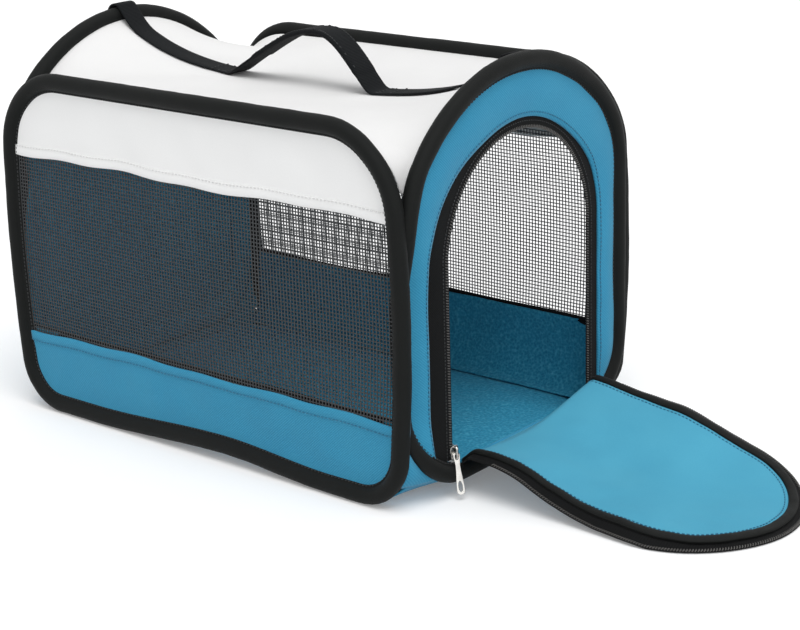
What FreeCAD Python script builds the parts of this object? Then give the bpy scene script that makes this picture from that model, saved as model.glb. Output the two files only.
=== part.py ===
"""Soft pet carrier on four sprung wire hoops, with a zipped door laid open at the front.

The carrier stands on the ground with +Z up. Its door is on -Y, its left side on -X, and the origin lies
on the ground under the middle of the floor. Lengths are in millimetres and angles in degrees.
"""
import FreeCAD, Part
import math
import operator
import os
import types
import Sketcher

SIZES = {
    # Four hoops of spring wire, each in a fabric sleeve
    "body_width": 282.0,  # between the centre planes of the two side hoops
    "body_length": 426.0,  # between the centre planes of the front and rear hoops
    "side_hoop_height": 280.1,  # from the lowest to the highest centre line
    "side_top_radius": 59.0,
    "side_bottom_radius": 36.0,
    "end_crown_rise": 29.4,  # crown of an end hoop above the top run of the side hoops
    "end_spring_drop": 71.0,  # from that top run down to the spring of the arch
    "end_hoop_lift": 9.1,  # from the ground to the sleeve of an end hoop
    "end_shoulder_radius": 74.0,
    "end_bottom_radius": 54.0,
    "sleeve_diameter": 12.4,
    "sleeve_bore": 4.2,
    "sleeve_gap": 0.3,  # between a side sleeve and the end sleeve beside it
    "wire_diameter": 2.4,
    "ferrule_diameter": 3.6,
    "ferrule_length": 26.0,
    "ferrule_gap": 0.05,
    "ferrule_shift": 27.0,  # how far the side hoops' ferrules lie in front of the middle
    # Panels
    "fabric_thickness": 1.2,
    "seam_gap": 0.3,  # between a panel's edge and the sleeve that it is sewn to
    "window_bottom_height": 68.0,
    "window_top_height": 222.0,
    "net_thickness": 0.8,
    "net_bar": 3.0,
    "net_rim": 6.0,
    "tape_thickness": 0.8,
    "layer_gap": 0.05,  # between layers sewn flat on each other
    "window_tape_width": 9.0,
    "roof_sag": 40.0,  # how far the ridge drops below the end hoops' crowns
    "mat_thickness": 6.0,
    "mat_margin": 12.0,
    "mat_corner_radius": 46.0,
    "mat_edge_radius": 2.0,
    # Door and its zip
    "front_side_band": 44.0,  # from a leg of the front hoop to the zip
    "front_top_band": 53.0,  # from the crown of the front hoop to the top of the zip
    "door_shoulder_run": 21.0,  # from the middle of the door to the centre of a shoulder
    "door_arch_drop": 4.0,  # how much lower the zip's arch is than half its width
    "chain_gap": 2.6,
    "coil_diameter": 1.8,
    "tape_coil_gap": 0.1,
    "frame_tape_width": 17.0,
    "frame_tape_seam": 5.0,  # how far the tape lies behind the front panel
    "door_tape_width": 10.0,
    "door_tape_seam": 2.0,
    "door_binding_width": 5.5,
    "door_binding_height": 3.0,
    "door_hem_diameter": 3.0,
    "door_hem_gap": 0.4,
    "door_ground_gap": 0.6,
    # Zip slider, its pull and the stops at the ends of the zip
    "slider_length": 13.0,
    "slider_width": 10.0,
    "slider_nose_width": 7.0,
    "slider_plate": 1.2,
    "slider_channel": 3.2,
    "slider_post_width": 1.6,
    "slider_post_length": 4.0,
    "slider_gap": 0.3,
    "door_pull_gap": 2.0,  # between the swinging pull and the door's half of the zip
    "bridge_width": 2.4,
    "bridge_length": 10.4,
    "bridge_window": 2.2,
    "bridge_thickness": 1.2,
    "bridge_taper": 1.6,
    "pull_length": 30.0,
    "pull_width": 6.6,
    "pull_thickness": 1.5,
    "pull_drop": 1.5,  # how far the pull's bar lies below the middle of the slider
    "pull_eye_width": 3.2,
    "pull_eye_length": 4.2,
    "pull_slot_width": 3.0,
    "pull_slot_length": 8.0,
    "pull_end_wall": 2.4,
    "stop_width": 4.0,
    "stop_height": 2.6,
    # Carrying handle
    "strap_width": 24.0,
    "strap_thickness": 1.8,
    "strap_gap": 0.4,
    "grip_thickness": 3.6,
    "grip_rise": 46.0,  # crest above the ridge of the roof
    "grip_rear_foot": 78.0,
    "grip_rear_crest": -2.0,
    "grip_front_crest": -34.0,
    "grip_front_foot": -76.0,
    "grip_fold_height": 16.0,  # the stretch of each foot that stays with the roof
    "cut_overrun": 20.0,
}

NET_COLUMNS = 30
NET_ROWS = 10
ROOF_STATIONS = 9  # cross-sections from the middle of the roof to one end
FLOOR_STATIONS = 6
ROOF_POINTS_PER_SIDE = 6  # points of a cross-section from the centre line to one edge
FLOOR_POINTS_PER_SIDE = 10
SAG_POWER = 3
EDGE_POWER = 6
SEAT_SHARE = math.sqrt(0.5)  # a sheet meets its sleeve on the inner corner, half way round
STRAP_WRAP_ANGLE = -25.0  # where the rear strap ends on the outer side of the rear sleeve
ROUTE_SHARES = (0.92, 0.79, 0.65, 0.51)  # where a strap bends over the ridge, along half the roof
BEND_SHARE = 0.45
FLOOR_FLAT_SHARE = 0.5

doc = FreeCAD.newDocument("pet_carrier")
sheet = doc.addObject("Spreadsheet::Sheet", "Sizes")
for row, (name, number) in enumerate(SIZES.items(), start=1):
    sheet.set(f"A{row}", name)
    sheet.set(f"B{row}", str(number))
    sheet.setAlias(f"B{row}", name)
doc.recompute()

SIGNS = {"+": operator.add, "-": operator.sub, "*": operator.mul, "/": operator.truediv}


class Size:
    """A length as a number, together with the sheet formula that a property is bound to."""

    def __init__(self, number, formula):
        self.number = number
        self.formula = formula

    def joined(self, sign, other):
        if not isinstance(other, Size):
            other = Size(other, repr(other))
        return Size(SIGNS[sign](self.number, other.number), f"({self.formula} {sign} {other.formula})")

    def __add__(self, other):
        return self.joined("+", other)

    def __sub__(self, other):
        return self.joined("-", other)

    def __mul__(self, other):
        return self.joined("*", other)

    def __truediv__(self, other):
        return self.joined("/", other)

    def __neg__(self):
        return Size(-self.number, f"(0 - {self.formula})")


def root(size):
    return Size(math.sqrt(size.number), f"sqrt({size.formula})")


s = types.SimpleNamespace(**{name: Size(getattr(sheet, name), f"Sizes.{name}") for name in SIZES})
nothing = Size(0.0, "0")

# Places that several pieces share
sleeve_radius = s.sleeve_diameter / 2
side_plane = s.body_width / 2
end_plane = s.body_length / 2
corner_step = (s.sleeve_diameter + s.sleeve_gap) * SEAT_SHARE
side_half = end_plane - corner_step
side_low = sleeve_radius
side_high = side_low + s.side_hoop_height
end_half = side_plane - corner_step
end_low = s.end_hoop_lift + sleeve_radius
end_spring = side_high - s.end_spring_drop
end_top = side_high + s.end_crown_rise
panel_inset = sleeve_radius + s.seam_gap
sheet_seat = (sleeve_radius + s.fabric_thickness) * SEAT_SHARE

# The zip's line, above the door's hinge, and the layers that lie beside it
hem_radius = s.door_hem_diameter / 2
hinge_height = end_low + sleeve_radius + s.door_hem_gap + hem_radius
chain_half = end_half - s.front_side_band
door_reach = end_top - s.front_top_band - hinge_height
door_leg = door_reach - (chain_half - s.door_arch_drop)
door_shoulder = chain_half - s.door_shoulder_run
coil_offset = (s.chain_gap + s.coil_diameter) / 2
tape_offset = coil_offset + s.coil_diameter / 2 + s.tape_coil_gap
frame_edge_offset = tape_offset + s.frame_tape_width - s.frame_tape_seam
door_edge_offset = tape_offset + s.door_tape_width - s.door_tape_seam
tape_layer = (s.fabric_thickness + s.tape_thickness) / 2 + s.layer_gap
binding_layer = tape_layer + (s.tape_thickness + s.door_binding_height) / 2 + s.layer_gap

# The slider stands on its stop, which clears the rounded bottom corner of the front sleeve
stop_reach = chain_half + tape_offset - s.tape_coil_gap
corner_middle = end_half - s.end_bottom_radius
corner_inner = s.end_bottom_radius - panel_inset
stop_run = stop_reach - corner_middle
stop_low = end_low + s.end_bottom_radius - root(corner_inner * corner_inner - stop_run * stop_run)
slider_low = stop_low + s.stop_height + s.slider_gap
slider_middle = slider_low + s.slider_length / 2
slider_face = s.slider_channel / 2 + s.slider_plate

# The pull's axis, and the start of the door's half of the zip, which the swinging pull clears
pull_axis_out = slider_face + s.bridge_window / 2 - tape_layer
pull_axis_up = slider_middle - s.pull_drop
pull_over_door = pull_axis_up - hinge_height
door_chain_start = (pull_axis_out + s.door_pull_gap
                    + root(s.pull_length * s.pull_length - pull_over_door * pull_over_door))

nodes = {}


def keep(item, label):
    """Name a finished piece of the carrier, so that it is written to a file of that name."""
    item.Label = label
    nodes[label] = item
    return item


def bind(item, **sizes):
    for place, size in sizes.items():
        item.setExpression(place.replace("__", "."), size.formula)


def put(item, along_x=nothing, along_y=nothing, along_z=nothing):
    bind(item, Placement__Base__x=along_x, Placement__Base__y=along_y, Placement__Base__z=along_z)


def new_body(label):
    return keep(doc.addObject("PartDesign::Body", label), label)


def new_sketch(body, role, name, lift=None):
    """A sketch on one of the body's origin planes, lifted off it where a lift is given."""
    sketch = body.newObject("Sketcher::SketchObject", name)
    plane = next(item for item in body.Origin.OriginFeatures if item.Role == role)
    sketch.AttachmentSupport = [(plane, "")]
    sketch.MapMode = "FlatFace"
    if lift is not None:
        bind(sketch, AttachmentOffset__Base__z=lift)
    return sketch


def hold(sketch, size, *terms):
    index = sketch.addConstraint(Sketcher.Constraint(*terms, size.number))
    sketch.setExpression(f"Constraints[{index}]", size.formula)


def pin(sketch, edge, end, across=None, up=None):
    """Fix one end of an edge at a place measured from the sketch's origin."""
    for kind, size in (("DistanceX", across), ("DistanceY", up)):
        if size is None:
            continue
        if size.number < 0:
            hold(sketch, -size, kind, edge, end, -1, 1)
        else:
            hold(sketch, size, kind, -1, 1, edge, end)


def point(across, up):
    return FreeCAD.Vector(across.number, up.number, 0)


def arc(across, up, radius, first, last):
    circle = Part.Circle(point(across, up), FreeCAD.Vector(0, 0, 1), radius.number)
    return Part.ArcOfCircle(circle, math.radians(first), math.radians(last))


def draw_ring(sketch, half, low, high, bottom_radius, top_radius):
    """A rectangle with rounded corners, centred on the sketch's upright axis."""
    inner_low, inner_high = half - bottom_radius, half - top_radius
    edges = [
        Part.LineSegment(point(-inner_low, low), point(inner_low, low)),
        arc(inner_low, low + bottom_radius, bottom_radius, 270, 360),
        Part.LineSegment(point(half, low + bottom_radius), point(half, high - top_radius)),
        arc(inner_high, high - top_radius, top_radius, 0, 90),
        Part.LineSegment(point(inner_high, high), point(-inner_high, high)),
        arc(-inner_high, high - top_radius, top_radius, 90, 180),
        Part.LineSegment(point(-half, high - top_radius), point(-half, low + bottom_radius)),
        arc(-inner_low, low + bottom_radius, bottom_radius, 180, 270),
    ]
    first = sketch.GeometryCount
    for edge in edges:
        sketch.addGeometry(edge)
    for index in range(len(edges)):
        following = first + (index + 1) % len(edges)
        sketch.addConstraint(Sketcher.Constraint("Tangent", first + index, 2, following, 1))
    for kind, index in (("Horizontal", 0), ("Vertical", 2), ("Horizontal", 4), ("Vertical", 6)):
        sketch.addConstraint(Sketcher.Constraint(kind, first + index))
    for index, radius in ((1, bottom_radius), (7, bottom_radius), (3, top_radius), (5, top_radius)):
        hold(sketch, radius, "Radius", first + index)
    pin(sketch, first + 2, 1, across=half)
    pin(sketch, first + 6, 1, across=-half)
    pin(sketch, first, 1, up=low)
    pin(sketch, first + 4, 1, up=high)


def crown_radius(half, rise, shoulder):
    """The radius of the middle arc of a three-centred arch, which meets both shoulders smoothly."""
    run = half - shoulder
    return (run * run + rise * rise - shoulder * shoulder) / ((rise - shoulder) * 2)


def crown_turn(half, rise, shoulder):
    """The angle above level at which a shoulder passes into the crown."""
    crown = crown_radius(half, rise, shoulder).number
    return math.degrees(math.atan2(crown - rise.number, half.number - shoulder.number))


def draw_arch(sketch, half, low, spring, top, shoulder, corner=None, closed=True):
    """Two upright legs under a three-centred arch, closed below by a straight foot or left open."""
    crown = crown_radius(half, top - spring, shoulder)
    turn = crown_turn(half, top - spring, shoulder)
    foot = low if corner is None else low + corner
    legs_and_arch = [
        Part.LineSegment(point(half, foot), point(half, spring)),
        arc(half - shoulder, spring, shoulder, 0, turn),
        arc(nothing, top - crown, crown, turn, 180 - turn),
        arc(-(half - shoulder), spring, shoulder, 180 - turn, 180),
        Part.LineSegment(point(-half, spring), point(-half, foot)),
    ]
    right, right_shoulder, middle, left_shoulder, left = (sketch.addGeometry(e) for e in legs_and_arch)
    joined = [(right, right_shoulder), (right_shoulder, middle),
              (middle, left_shoulder), (left_shoulder, left)]
    if closed:
        reach = half if corner is None else half - corner
        bottom = sketch.addGeometry(Part.LineSegment(point(-reach, low), point(reach, low)))
        sketch.addConstraint(Sketcher.Constraint("Horizontal", bottom))
        pin(sketch, bottom, 1, up=low)
        if corner is None:
            sketch.addConstraint(Sketcher.Constraint("Coincident", left, 2, bottom, 1))
            sketch.addConstraint(Sketcher.Constraint("Coincident", bottom, 2, right, 1))
        else:
            left_corner = sketch.addGeometry(arc(-reach, low + corner, corner, 180, 270))
            right_corner = sketch.addGeometry(arc(reach, low + corner, corner, 270, 360))
            joined += [(left, left_corner), (left_corner, bottom),
                       (bottom, right_corner), (right_corner, right)]
            hold(sketch, corner, "Radius", left_corner)
            hold(sketch, corner, "Radius", right_corner)
    else:
        pin(sketch, right, 1, up=low)
        pin(sketch, left, 2, up=low)
    for before, after in joined:
        sketch.addConstraint(Sketcher.Constraint("Tangent", before, 2, after, 1))
    for leg in (right, left):
        sketch.addConstraint(Sketcher.Constraint("Vertical", leg))
    for edge, radius in ((right_shoulder, shoulder), (left_shoulder, shoulder), (middle, crown)):
        hold(sketch, radius, "Radius", edge)
    pin(sketch, right, 2, across=half, up=spring)
    pin(sketch, left, 1, across=-half, up=spring)


def draw_polygon(sketch, corners):
    """A closed outline of straight edges, with every corner fixed from the sketch's origin."""
    first = sketch.GeometryCount
    count = len(corners)
    for index in range(count):
        start, end = corners[index], corners[(index + 1) % count]
        sketch.addGeometry(Part.LineSegment(point(*start), point(*end)))
    for index in range(count):
        following = first + (index + 1) % count
        sketch.addConstraint(Sketcher.Constraint("Coincident", first + index, 2, following, 1))
    for index, (across, up) in enumerate(corners):
        pin(sketch, first + index, 1, across=across, up=up)


def draw_rectangle(sketch, half, low, high):
    draw_polygon(sketch, [(-half, low), (half, low), (half, high), (-half, high)])


def draw_circle(sketch, diameter, across, up):
    edge = sketch.addGeometry(Part.Circle(point(across, up), FreeCAD.Vector(0, 0, 1), diameter.number / 2))
    hold(sketch, diameter, "Diameter", edge)
    pin(sketch, edge, 3, across=across, up=up)


def add_pad(body, sketch, thickness):
    pad = body.newObject("PartDesign::Pad", "pad")
    pad.Profile = sketch
    pad.SideType = "Symmetric"
    bind(pad, Length=thickness)
    return pad


def add_pocket(body, sketch, depth=None):
    """A cut through the whole piece, or one of the given depth centred on the sketch."""
    pocket = body.newObject("PartDesign::Pocket", "pocket")
    pocket.Profile = sketch
    pocket.SideType = "Symmetric"
    if depth is None:
        pocket.Type = "ThroughAll"
    else:
        bind(pocket, Length=depth)
    return pocket


def add_pipe(body, path, role, diameter, across, up, kind="Additive", lift=None):
    profile = new_sketch(body, role, "profile", lift)
    draw_circle(profile, diameter, across, up)
    pipe = body.newObject(f"PartDesign::{kind}Pipe", "pipe")
    pipe.Profile = profile
    pipe.Spine = path
    return pipe


def make_side_hoop(side, sign):
    """The wire of one side hoop and the sleeve round it."""
    for label, diameter, bore in (
        (f"{side}_side_wire", s.wire_diameter, None),
        (f"{side}_side_sleeve", s.sleeve_diameter, s.sleeve_bore),
    ):
        body = new_body(label)
        put(body, along_x=side_plane * sign)
        path = new_sketch(body, "YZ_Plane", "path")
        draw_ring(path, side_half, side_low, side_high, s.side_bottom_radius, s.side_top_radius)
        add_pipe(body, path, "XZ_Plane", diameter, nothing, side_low)
        if bore is not None:
            add_pipe(body, path, "XZ_Plane", bore, nothing, side_low, kind="Subtractive")


def make_end_hoop(end, sign):
    """The wire of the front or rear hoop and the sleeve round it."""
    for label, diameter, bore in (
        (f"{end}_hoop_wire", s.wire_diameter, None),
        (f"{end}_hoop_sleeve", s.sleeve_diameter, s.sleeve_bore),
    ):
        body = new_body(label)
        put(body, along_y=end_plane * sign)
        path = new_sketch(body, "XZ_Plane", "path")
        draw_arch(path, end_half, end_low, end_spring, end_top, s.end_shoulder_radius, s.end_bottom_radius)
        add_pipe(body, path, "YZ_Plane", diameter, nothing, end_low)
        if bore is not None:
            add_pipe(body, path, "YZ_Plane", bore, nothing, end_low, kind="Subtractive")


def make_ferrules():
    """The crimped tube that joins the two ends of each hoop's wire, low down in its sleeve."""
    along_y = FreeCAD.Rotation(FreeCAD.Vector(1, 0, 0), -90)
    along_x = FreeCAD.Rotation(FreeCAD.Vector(0, 1, 0), 90)
    half_length = s.ferrule_length / 2
    tubes = []
    seats = [(side_plane * sign, -s.ferrule_shift - half_length, side_low, along_y) for sign in (-1, 1)]
    seats += [(-half_length, end_plane * sign, end_low, along_x) for sign in (-1, 1)]
    for across, along, up, turn in seats:
        tube = doc.addObject("Part::Cut", "ferrule")
        tube.Base = doc.addObject("Part::Cylinder", "ferrule_outside")
        tube.Tool = doc.addObject("Part::Cylinder", "ferrule_inside")
        bind(tube.Base, Radius=s.ferrule_diameter / 2)
        bind(tube.Tool, Radius=s.wire_diameter / 2 + s.ferrule_gap)
        for cylinder in (tube.Base, tube.Tool):
            bind(cylinder, Height=s.ferrule_length)
            cylinder.Placement.Rotation = turn
            put(cylinder, across, along, up)
        tubes.append(tube)
    group = keep(doc.addObject("Part::Compound", "wire_ferrules"), "wire_ferrules")
    group.Links = tubes


def side_slice(body, thickness, low, high):
    """The part of a side panel between two heights, inside its hoop."""
    outline = new_sketch(body, "YZ_Plane", "outline")
    half = side_half - panel_inset
    draw_ring(outline, half, side_low + panel_inset, side_high - panel_inset,
              s.side_bottom_radius - panel_inset, s.side_top_radius - panel_inset)
    add_pad(body, outline, thickness)
    for bottom, top in ((nothing, low), (high, side_high + s.cut_overrun)):
        if bottom is not None and top is not None:
            cut = new_sketch(body, "YZ_Plane", "cut")
            draw_rectangle(cut, side_half + s.cut_overrun, bottom, top)
            add_pocket(body, cut)


def make_side_panel(side, sign):
    """White band, net window and blue band of one side, with the tape inside the lower seam."""
    top_band = new_body(f"{side}_top_band")
    side_slice(top_band, s.fabric_thickness, s.window_top_height + s.seam_gap / 2, None)
    bottom_band = new_body(f"{side}_bottom_band")
    side_slice(bottom_band, s.fabric_thickness, None, s.window_bottom_height - s.seam_gap / 2)
    seam_tape = new_body(f"{side}_window_tape")
    half_tape = s.window_tape_width / 2
    side_slice(seam_tape, s.tape_thickness,
               s.window_bottom_height - half_tape, s.window_bottom_height + half_tape)
    for band in (top_band, bottom_band):
        put(band, along_x=side_plane * sign)
    put(seam_tape, along_x=(side_plane - tape_layer) * sign)

    blank = doc.addObject("PartDesign::Body", f"{side}_window_blank")
    side_slice(blank, s.fabric_thickness,
               s.window_bottom_height + s.seam_gap / 2, s.window_top_height - s.seam_gap / 2)
    put(blank, along_x=side_plane * sign)
    window = keep(doc.addObject("Part::Common", f"{side}_mesh_window"), f"{side}_mesh_window")
    window.Base = blank
    window.Tool = make_net(f"{side}_net", side_plane.number * sign)


def rectangle_wire(across, left, right, low, high):
    corners = [(left, low), (right, low), (right, high), (left, high), (left, low)]
    return Part.makePolygon([FreeCAD.Vector(across, along, up) for along, up in corners])


def make_net(label, across):
    """A flat net with even gaps, larger all round than the window that it is cut to."""
    half = side_half.number - panel_inset.number
    low = s.window_bottom_height.number
    high = s.window_top_height.number
    rim = s.net_rim.number
    overrun = s.cut_overrun.number
    bar = s.net_bar.number
    column = (2 * (half - rim) + bar) / NET_COLUMNS
    row = (high - low - 2 * rim + bar) / NET_ROWS
    front = across - s.net_thickness.number / 2
    wires = [rectangle_wire(front, -half - overrun, half + overrun, low - overrun, high + overrun)]
    for i in range(NET_COLUMNS):
        for j in range(NET_ROWS):
            left = rim - half + i * column
            bottom = low + rim + j * row
            wires.append(rectangle_wire(front, left, left + column - bar, bottom, bottom + row - bar))
    face = Part.makeFace(wires, "Part::FaceMakerBullseye")
    net = doc.addObject("Part::Feature", label)
    net.Shape = face.extrude(FreeCAD.Vector(s.net_thickness.number, 0, 0))
    return net


def draw_end_panel(sketch):
    draw_arch(sketch, end_half - panel_inset, end_low + panel_inset, end_spring, end_top - panel_inset,
              s.end_shoulder_radius - panel_inset, s.end_bottom_radius - panel_inset)


def draw_opening(sketch, offset, low):
    """An arch that runs at an even distance outside the line of the door's zip."""
    draw_arch(sketch, chain_half + offset, low, hinge_height + door_leg,
              hinge_height + door_reach + offset, door_shoulder + offset)


def make_end_panels():
    """The whole rear panel, and the front panel with its opening."""
    for end, sign in (("front", -1), ("rear", 1)):
        body = new_body(f"{end}_panel")
        put(body, along_y=end_plane * sign)
        outline = new_sketch(body, "XZ_Plane", "outline")
        draw_end_panel(outline)
        add_pad(body, outline, s.fabric_thickness)
        if end == "front":
            opening = new_sketch(body, "XZ_Plane", "opening")
            draw_opening(opening, frame_edge_offset, end_low)
            add_pocket(body, opening)


def arch_normal_point(offset, angle):
    """A point at an even distance outside the end hoop's arch, by the angle of its outward normal."""
    shoulder = s.end_shoulder_radius.number
    rise = end_top - end_spring
    crown = crown_radius(end_half, rise, s.end_shoulder_radius).number
    if angle > crown_turn(end_half, rise, s.end_shoulder_radius):
        across, up, radius = 0, end_top.number - crown, crown
    else:
        across, up, radius = end_half.number - shoulder, end_spring.number, shoulder
    reach = radius + offset
    return across + reach * math.cos(math.radians(angle)), up + reach * math.sin(math.radians(angle))


def ridge_height(along):
    """The height of the roof's upper face over the centre line, which sags between the end hoops."""
    end = end_top.number + sheet_seat.number
    middle = end_top.number - s.roof_sag.number
    share = abs(along) / (end_plane.number - sheet_seat.number)
    return middle + (end - middle) * share ** SAG_POWER


def corner_height(along, corner_radius, level, way):
    """The height of a sheet's edge beside a side hoop, which turns with the hoop's corner."""
    seat = sheet_seat.number
    corner_start = side_half.number - corner_radius
    middle = level - way * corner_radius
    run = max(0, abs(along) - corner_start)
    return middle + way * math.sqrt((corner_radius + seat) ** 2 - run ** 2)


def roof_section(along):
    """Points across the roof's upper face, from the left edge to the right one."""
    seat = sheet_seat.number
    reach = end_plane.number - seat
    share = (abs(along) / reach) ** SAG_POWER
    edge_up = corner_height(along, s.side_top_radius.number, side_high.number, 1)
    edge_across = side_plane.number - seat
    end_up = corner_height(reach, s.side_top_radius.number, side_high.number, 1)
    lean = math.degrees(math.asin((end_up - end_spring.number) / (s.end_shoulder_radius.number + seat)))
    middle = ridge_height(0)
    section = []
    for index in range(-ROOF_POINTS_PER_SIDE, ROOF_POINTS_PER_SIDE + 1):
        part = index / ROOF_POINTS_PER_SIDE
        arch_across, arch_up = arch_normal_point(seat, 90 - abs(part) * (90 - lean))
        spread = math.sin(math.radians(abs(part) * (90 - lean))) / math.sin(math.radians(90 - lean))
        flat_up = middle + (side_high.number + seat - middle) * spread ** 2
        across = share * arch_across + (1 - share) * edge_across * spread
        up = share * arch_up + (1 - share) * flat_up
        edge_gap = edge_up - share * end_up - (1 - share) * (side_high.number + seat)
        up += edge_gap * abs(part) ** EDGE_POWER
        section.append(FreeCAD.Vector(math.copysign(across, part), along, up))
    return section


def floor_section(along):
    """Points across the floor's lower face, from the left edge to the right one."""
    seat = sheet_seat.number
    reach = end_plane.number - seat
    radius = s.end_bottom_radius.number
    flat = floor_flat_reach()
    share = ((abs(along) - flat) / (reach - flat)) ** 2
    flat_up = corner_height(flat, s.side_bottom_radius.number, side_low.number, -1)
    edge_up = corner_height(along, s.side_bottom_radius.number, side_low.number, -1)
    edge_up -= (1 - share) * flat_up
    end_up = corner_height(reach, s.side_bottom_radius.number, side_low.number, -1)
    middle_up = end_low.number + radius
    lean = math.degrees(math.acos((middle_up - end_up) / (radius + seat)))
    edge_across = side_plane.number - seat
    straight = end_half.number - radius
    section = []
    for index in range(-FLOOR_POINTS_PER_SIDE, FLOOR_POINTS_PER_SIDE + 1):
        part = abs(index) / FLOOR_POINTS_PER_SIDE
        turn = max(0, part - FLOOR_FLAT_SHARE) / (1 - FLOOR_FLAT_SHARE) * math.radians(lean)
        end_across = straight * min(1, part / FLOOR_FLAT_SHARE) + (radius + seat) * math.sin(turn)
        end_height = middle_up - (radius + seat) * math.cos(turn)
        across = share * end_across + (1 - share) * edge_across * part
        up = share * end_height + (edge_up - share * end_up) * part ** EDGE_POWER
        section.append(FreeCAD.Vector(math.copysign(across, index), along, max(0, up)))
    return section


def floor_flat_reach():
    return side_half.number - s.side_bottom_radius.number


def other_face(outer, way):
    """The points of a sheet's other face, on the side of its cross-section that way points to."""
    inner = []
    for index, place in enumerate(outer):
        run = outer[min(index + 1, len(outer) - 1)] - outer[max(index - 1, 0)]
        normal = FreeCAD.Vector(-run.z, 0, run.x).normalize()
        inner.append(place + normal * (way * s.fabric_thickness.number))
    return inner


def smooth_section(outer, inner):
    """The closed outline of a cross-section whose two faces are smooth curves."""
    curves = []
    for points in (outer, inner):
        curve = Part.BSplineCurve()
        curve.interpolate(Points=points, Parameters=[i / (len(points) - 1) for i in range(len(points))])
        curves.append(curve.toShape())
    left = Part.makeLine(inner[0], outer[0])
    right = Part.makeLine(outer[-1], inner[-1])
    return Part.Wire([curves[0], right, curves[1], left])


def make_roof():
    """One white sheet: an arch at each end hoop, sagging to a shallow trough between the side hoops."""
    reach = end_plane.number - sheet_seat.number
    sections = []
    for index in range(-ROOF_STATIONS, ROOF_STATIONS + 1):
        along = reach * math.sin(math.radians(90 * index / ROOF_STATIONS))
        upper = roof_section(along)
        sections.append(smooth_section(upper, other_face(upper, -1)))
    roof = keep(doc.addObject("Part::Feature", "roof_panel"), "roof_panel")
    roof.Shape = Part.makeLoft(sections, True, False)


def make_floor():
    """One blue sheet: flat on the ground, with its ends and corners drawn up to the hoops."""
    flat = floor_flat_reach()
    rise = end_plane.number - sheet_seat.number - flat
    places = []
    for index in range(FLOOR_STATIONS + 1):
        places.append(flat + rise * math.sin(math.radians(90 * index / FLOOR_STATIONS)))
    sections = []
    for along in [-place for place in reversed(places)] + places:
        lower = floor_section(along)
        sections.append(Part.makePolygon(lower + other_face(lower, 1)[::-1] + lower[:1]))
    floor = keep(doc.addObject("Part::Feature", "floor_panel"), "floor_panel")
    floor.Shape = Part.makeLoft(sections, True, True).removeSplitter()


def make_mat():
    """The plush mat on the flat of the floor."""
    body = new_body("floor_mat")
    outline = new_sketch(body, "XY_Plane", "outline")
    half = side_plane - sheet_seat - s.mat_margin
    reach = side_half - s.side_bottom_radius
    draw_ring(outline, half, -reach, reach, s.mat_corner_radius, s.mat_corner_radius)
    pad = add_pad(body, outline, s.mat_thickness)
    doc.recompute()
    level_edges = []
    for index, edge in enumerate(pad.Shape.Edges, start=1):
        if edge.BoundBox.ZLength < s.layer_gap.number:
            level_edges.append(f"Edge{index}")
    soften = body.newObject("PartDesign::Fillet", "soften")
    soften.Base = (pad, level_edges)
    bind(soften, Radius=s.mat_edge_radius)
    put(body, along_z=s.fabric_thickness + s.layer_gap + s.mat_thickness / 2)


def make_frame_zip():
    """The half of the zip that is sewn behind the front panel, with a stop at each end."""
    tape_blank = doc.addObject("PartDesign::Body", "opening_tape_blank")
    put(tape_blank, along_y=tape_layer - end_plane)
    outline = new_sketch(tape_blank, "XZ_Plane", "outline")
    draw_opening(outline, tape_offset + s.frame_tape_width, end_low)
    add_pad(tape_blank, outline, s.tape_thickness)
    inside = new_sketch(tape_blank, "XZ_Plane", "inside")
    draw_opening(inside, tape_offset, end_low - sleeve_radius)
    add_pocket(tape_blank, inside)
    limit = doc.addObject("PartDesign::Body", "opening_tape_limit")
    put(limit, along_y=tape_layer - end_plane)
    border = new_sketch(limit, "XZ_Plane", "border")
    draw_end_panel(border)
    add_pad(limit, border, s.cut_overrun)
    tape = keep(doc.addObject("Part::Common", "opening_zip_tape"), "opening_zip_tape")
    tape.Base = tape_blank
    tape.Tool = limit

    coil = new_body("opening_zip_coil")
    put(coil, along_y=tape_layer - end_plane)
    path = new_sketch(coil, "XZ_Plane", "path")
    coil_low = stop_low + s.stop_height + s.layer_gap
    half = chain_half + coil_offset
    draw_arch(path, half, coil_low, hinge_height + door_leg,
              hinge_height + door_reach + coil_offset, door_shoulder + coil_offset, closed=False)
    add_pipe(coil, path, "XY_Plane", s.coil_diameter, half, nothing, lift=coil_low)

    stops = keep(doc.addObject("Part::Compound", "zip_end_stops"), "zip_end_stops")
    boxes = []
    for sign in (-1, 1):
        stop = doc.addObject("Part::Box", "zip_end_stop")
        bind(stop, Length=s.stop_width, Width=s.slider_channel, Height=s.stop_height)
        middle = (stop_reach - s.stop_width / 2) * sign
        put(stop, middle - s.stop_width / 2, tape_layer - end_plane - s.slider_channel / 2, stop_low)
        boxes.append(stop)
    stops.Links = boxes


def door_droop():
    """How far below level the open door points, with its tip just above the ground."""
    drop = hinge_height - s.coil_diameter / 2 - s.door_ground_gap
    return math.degrees(math.asin(drop.number / door_reach.number))


def lay_open(body, layer):
    """Turn a piece of the door from closed and upright to open, about the hinge on the front sleeve."""
    turn = FreeCAD.Rotation(FreeCAD.Vector(1, 0, 0), 90 + door_droop())
    lift = turn.multVec(FreeCAD.Vector(0, layer.number, 0))
    hinge = FreeCAD.Vector(0, -end_plane.number, hinge_height.number)
    body.Placement = FreeCAD.Placement(hinge + lift, turn)


def draw_door(sketch, inset, low):
    """An arch that runs at an even distance inside the line of the zip, above the hinge."""
    draw_arch(sketch, chain_half - inset, low, door_leg, door_reach - inset,
              door_shoulder - inset)


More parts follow.
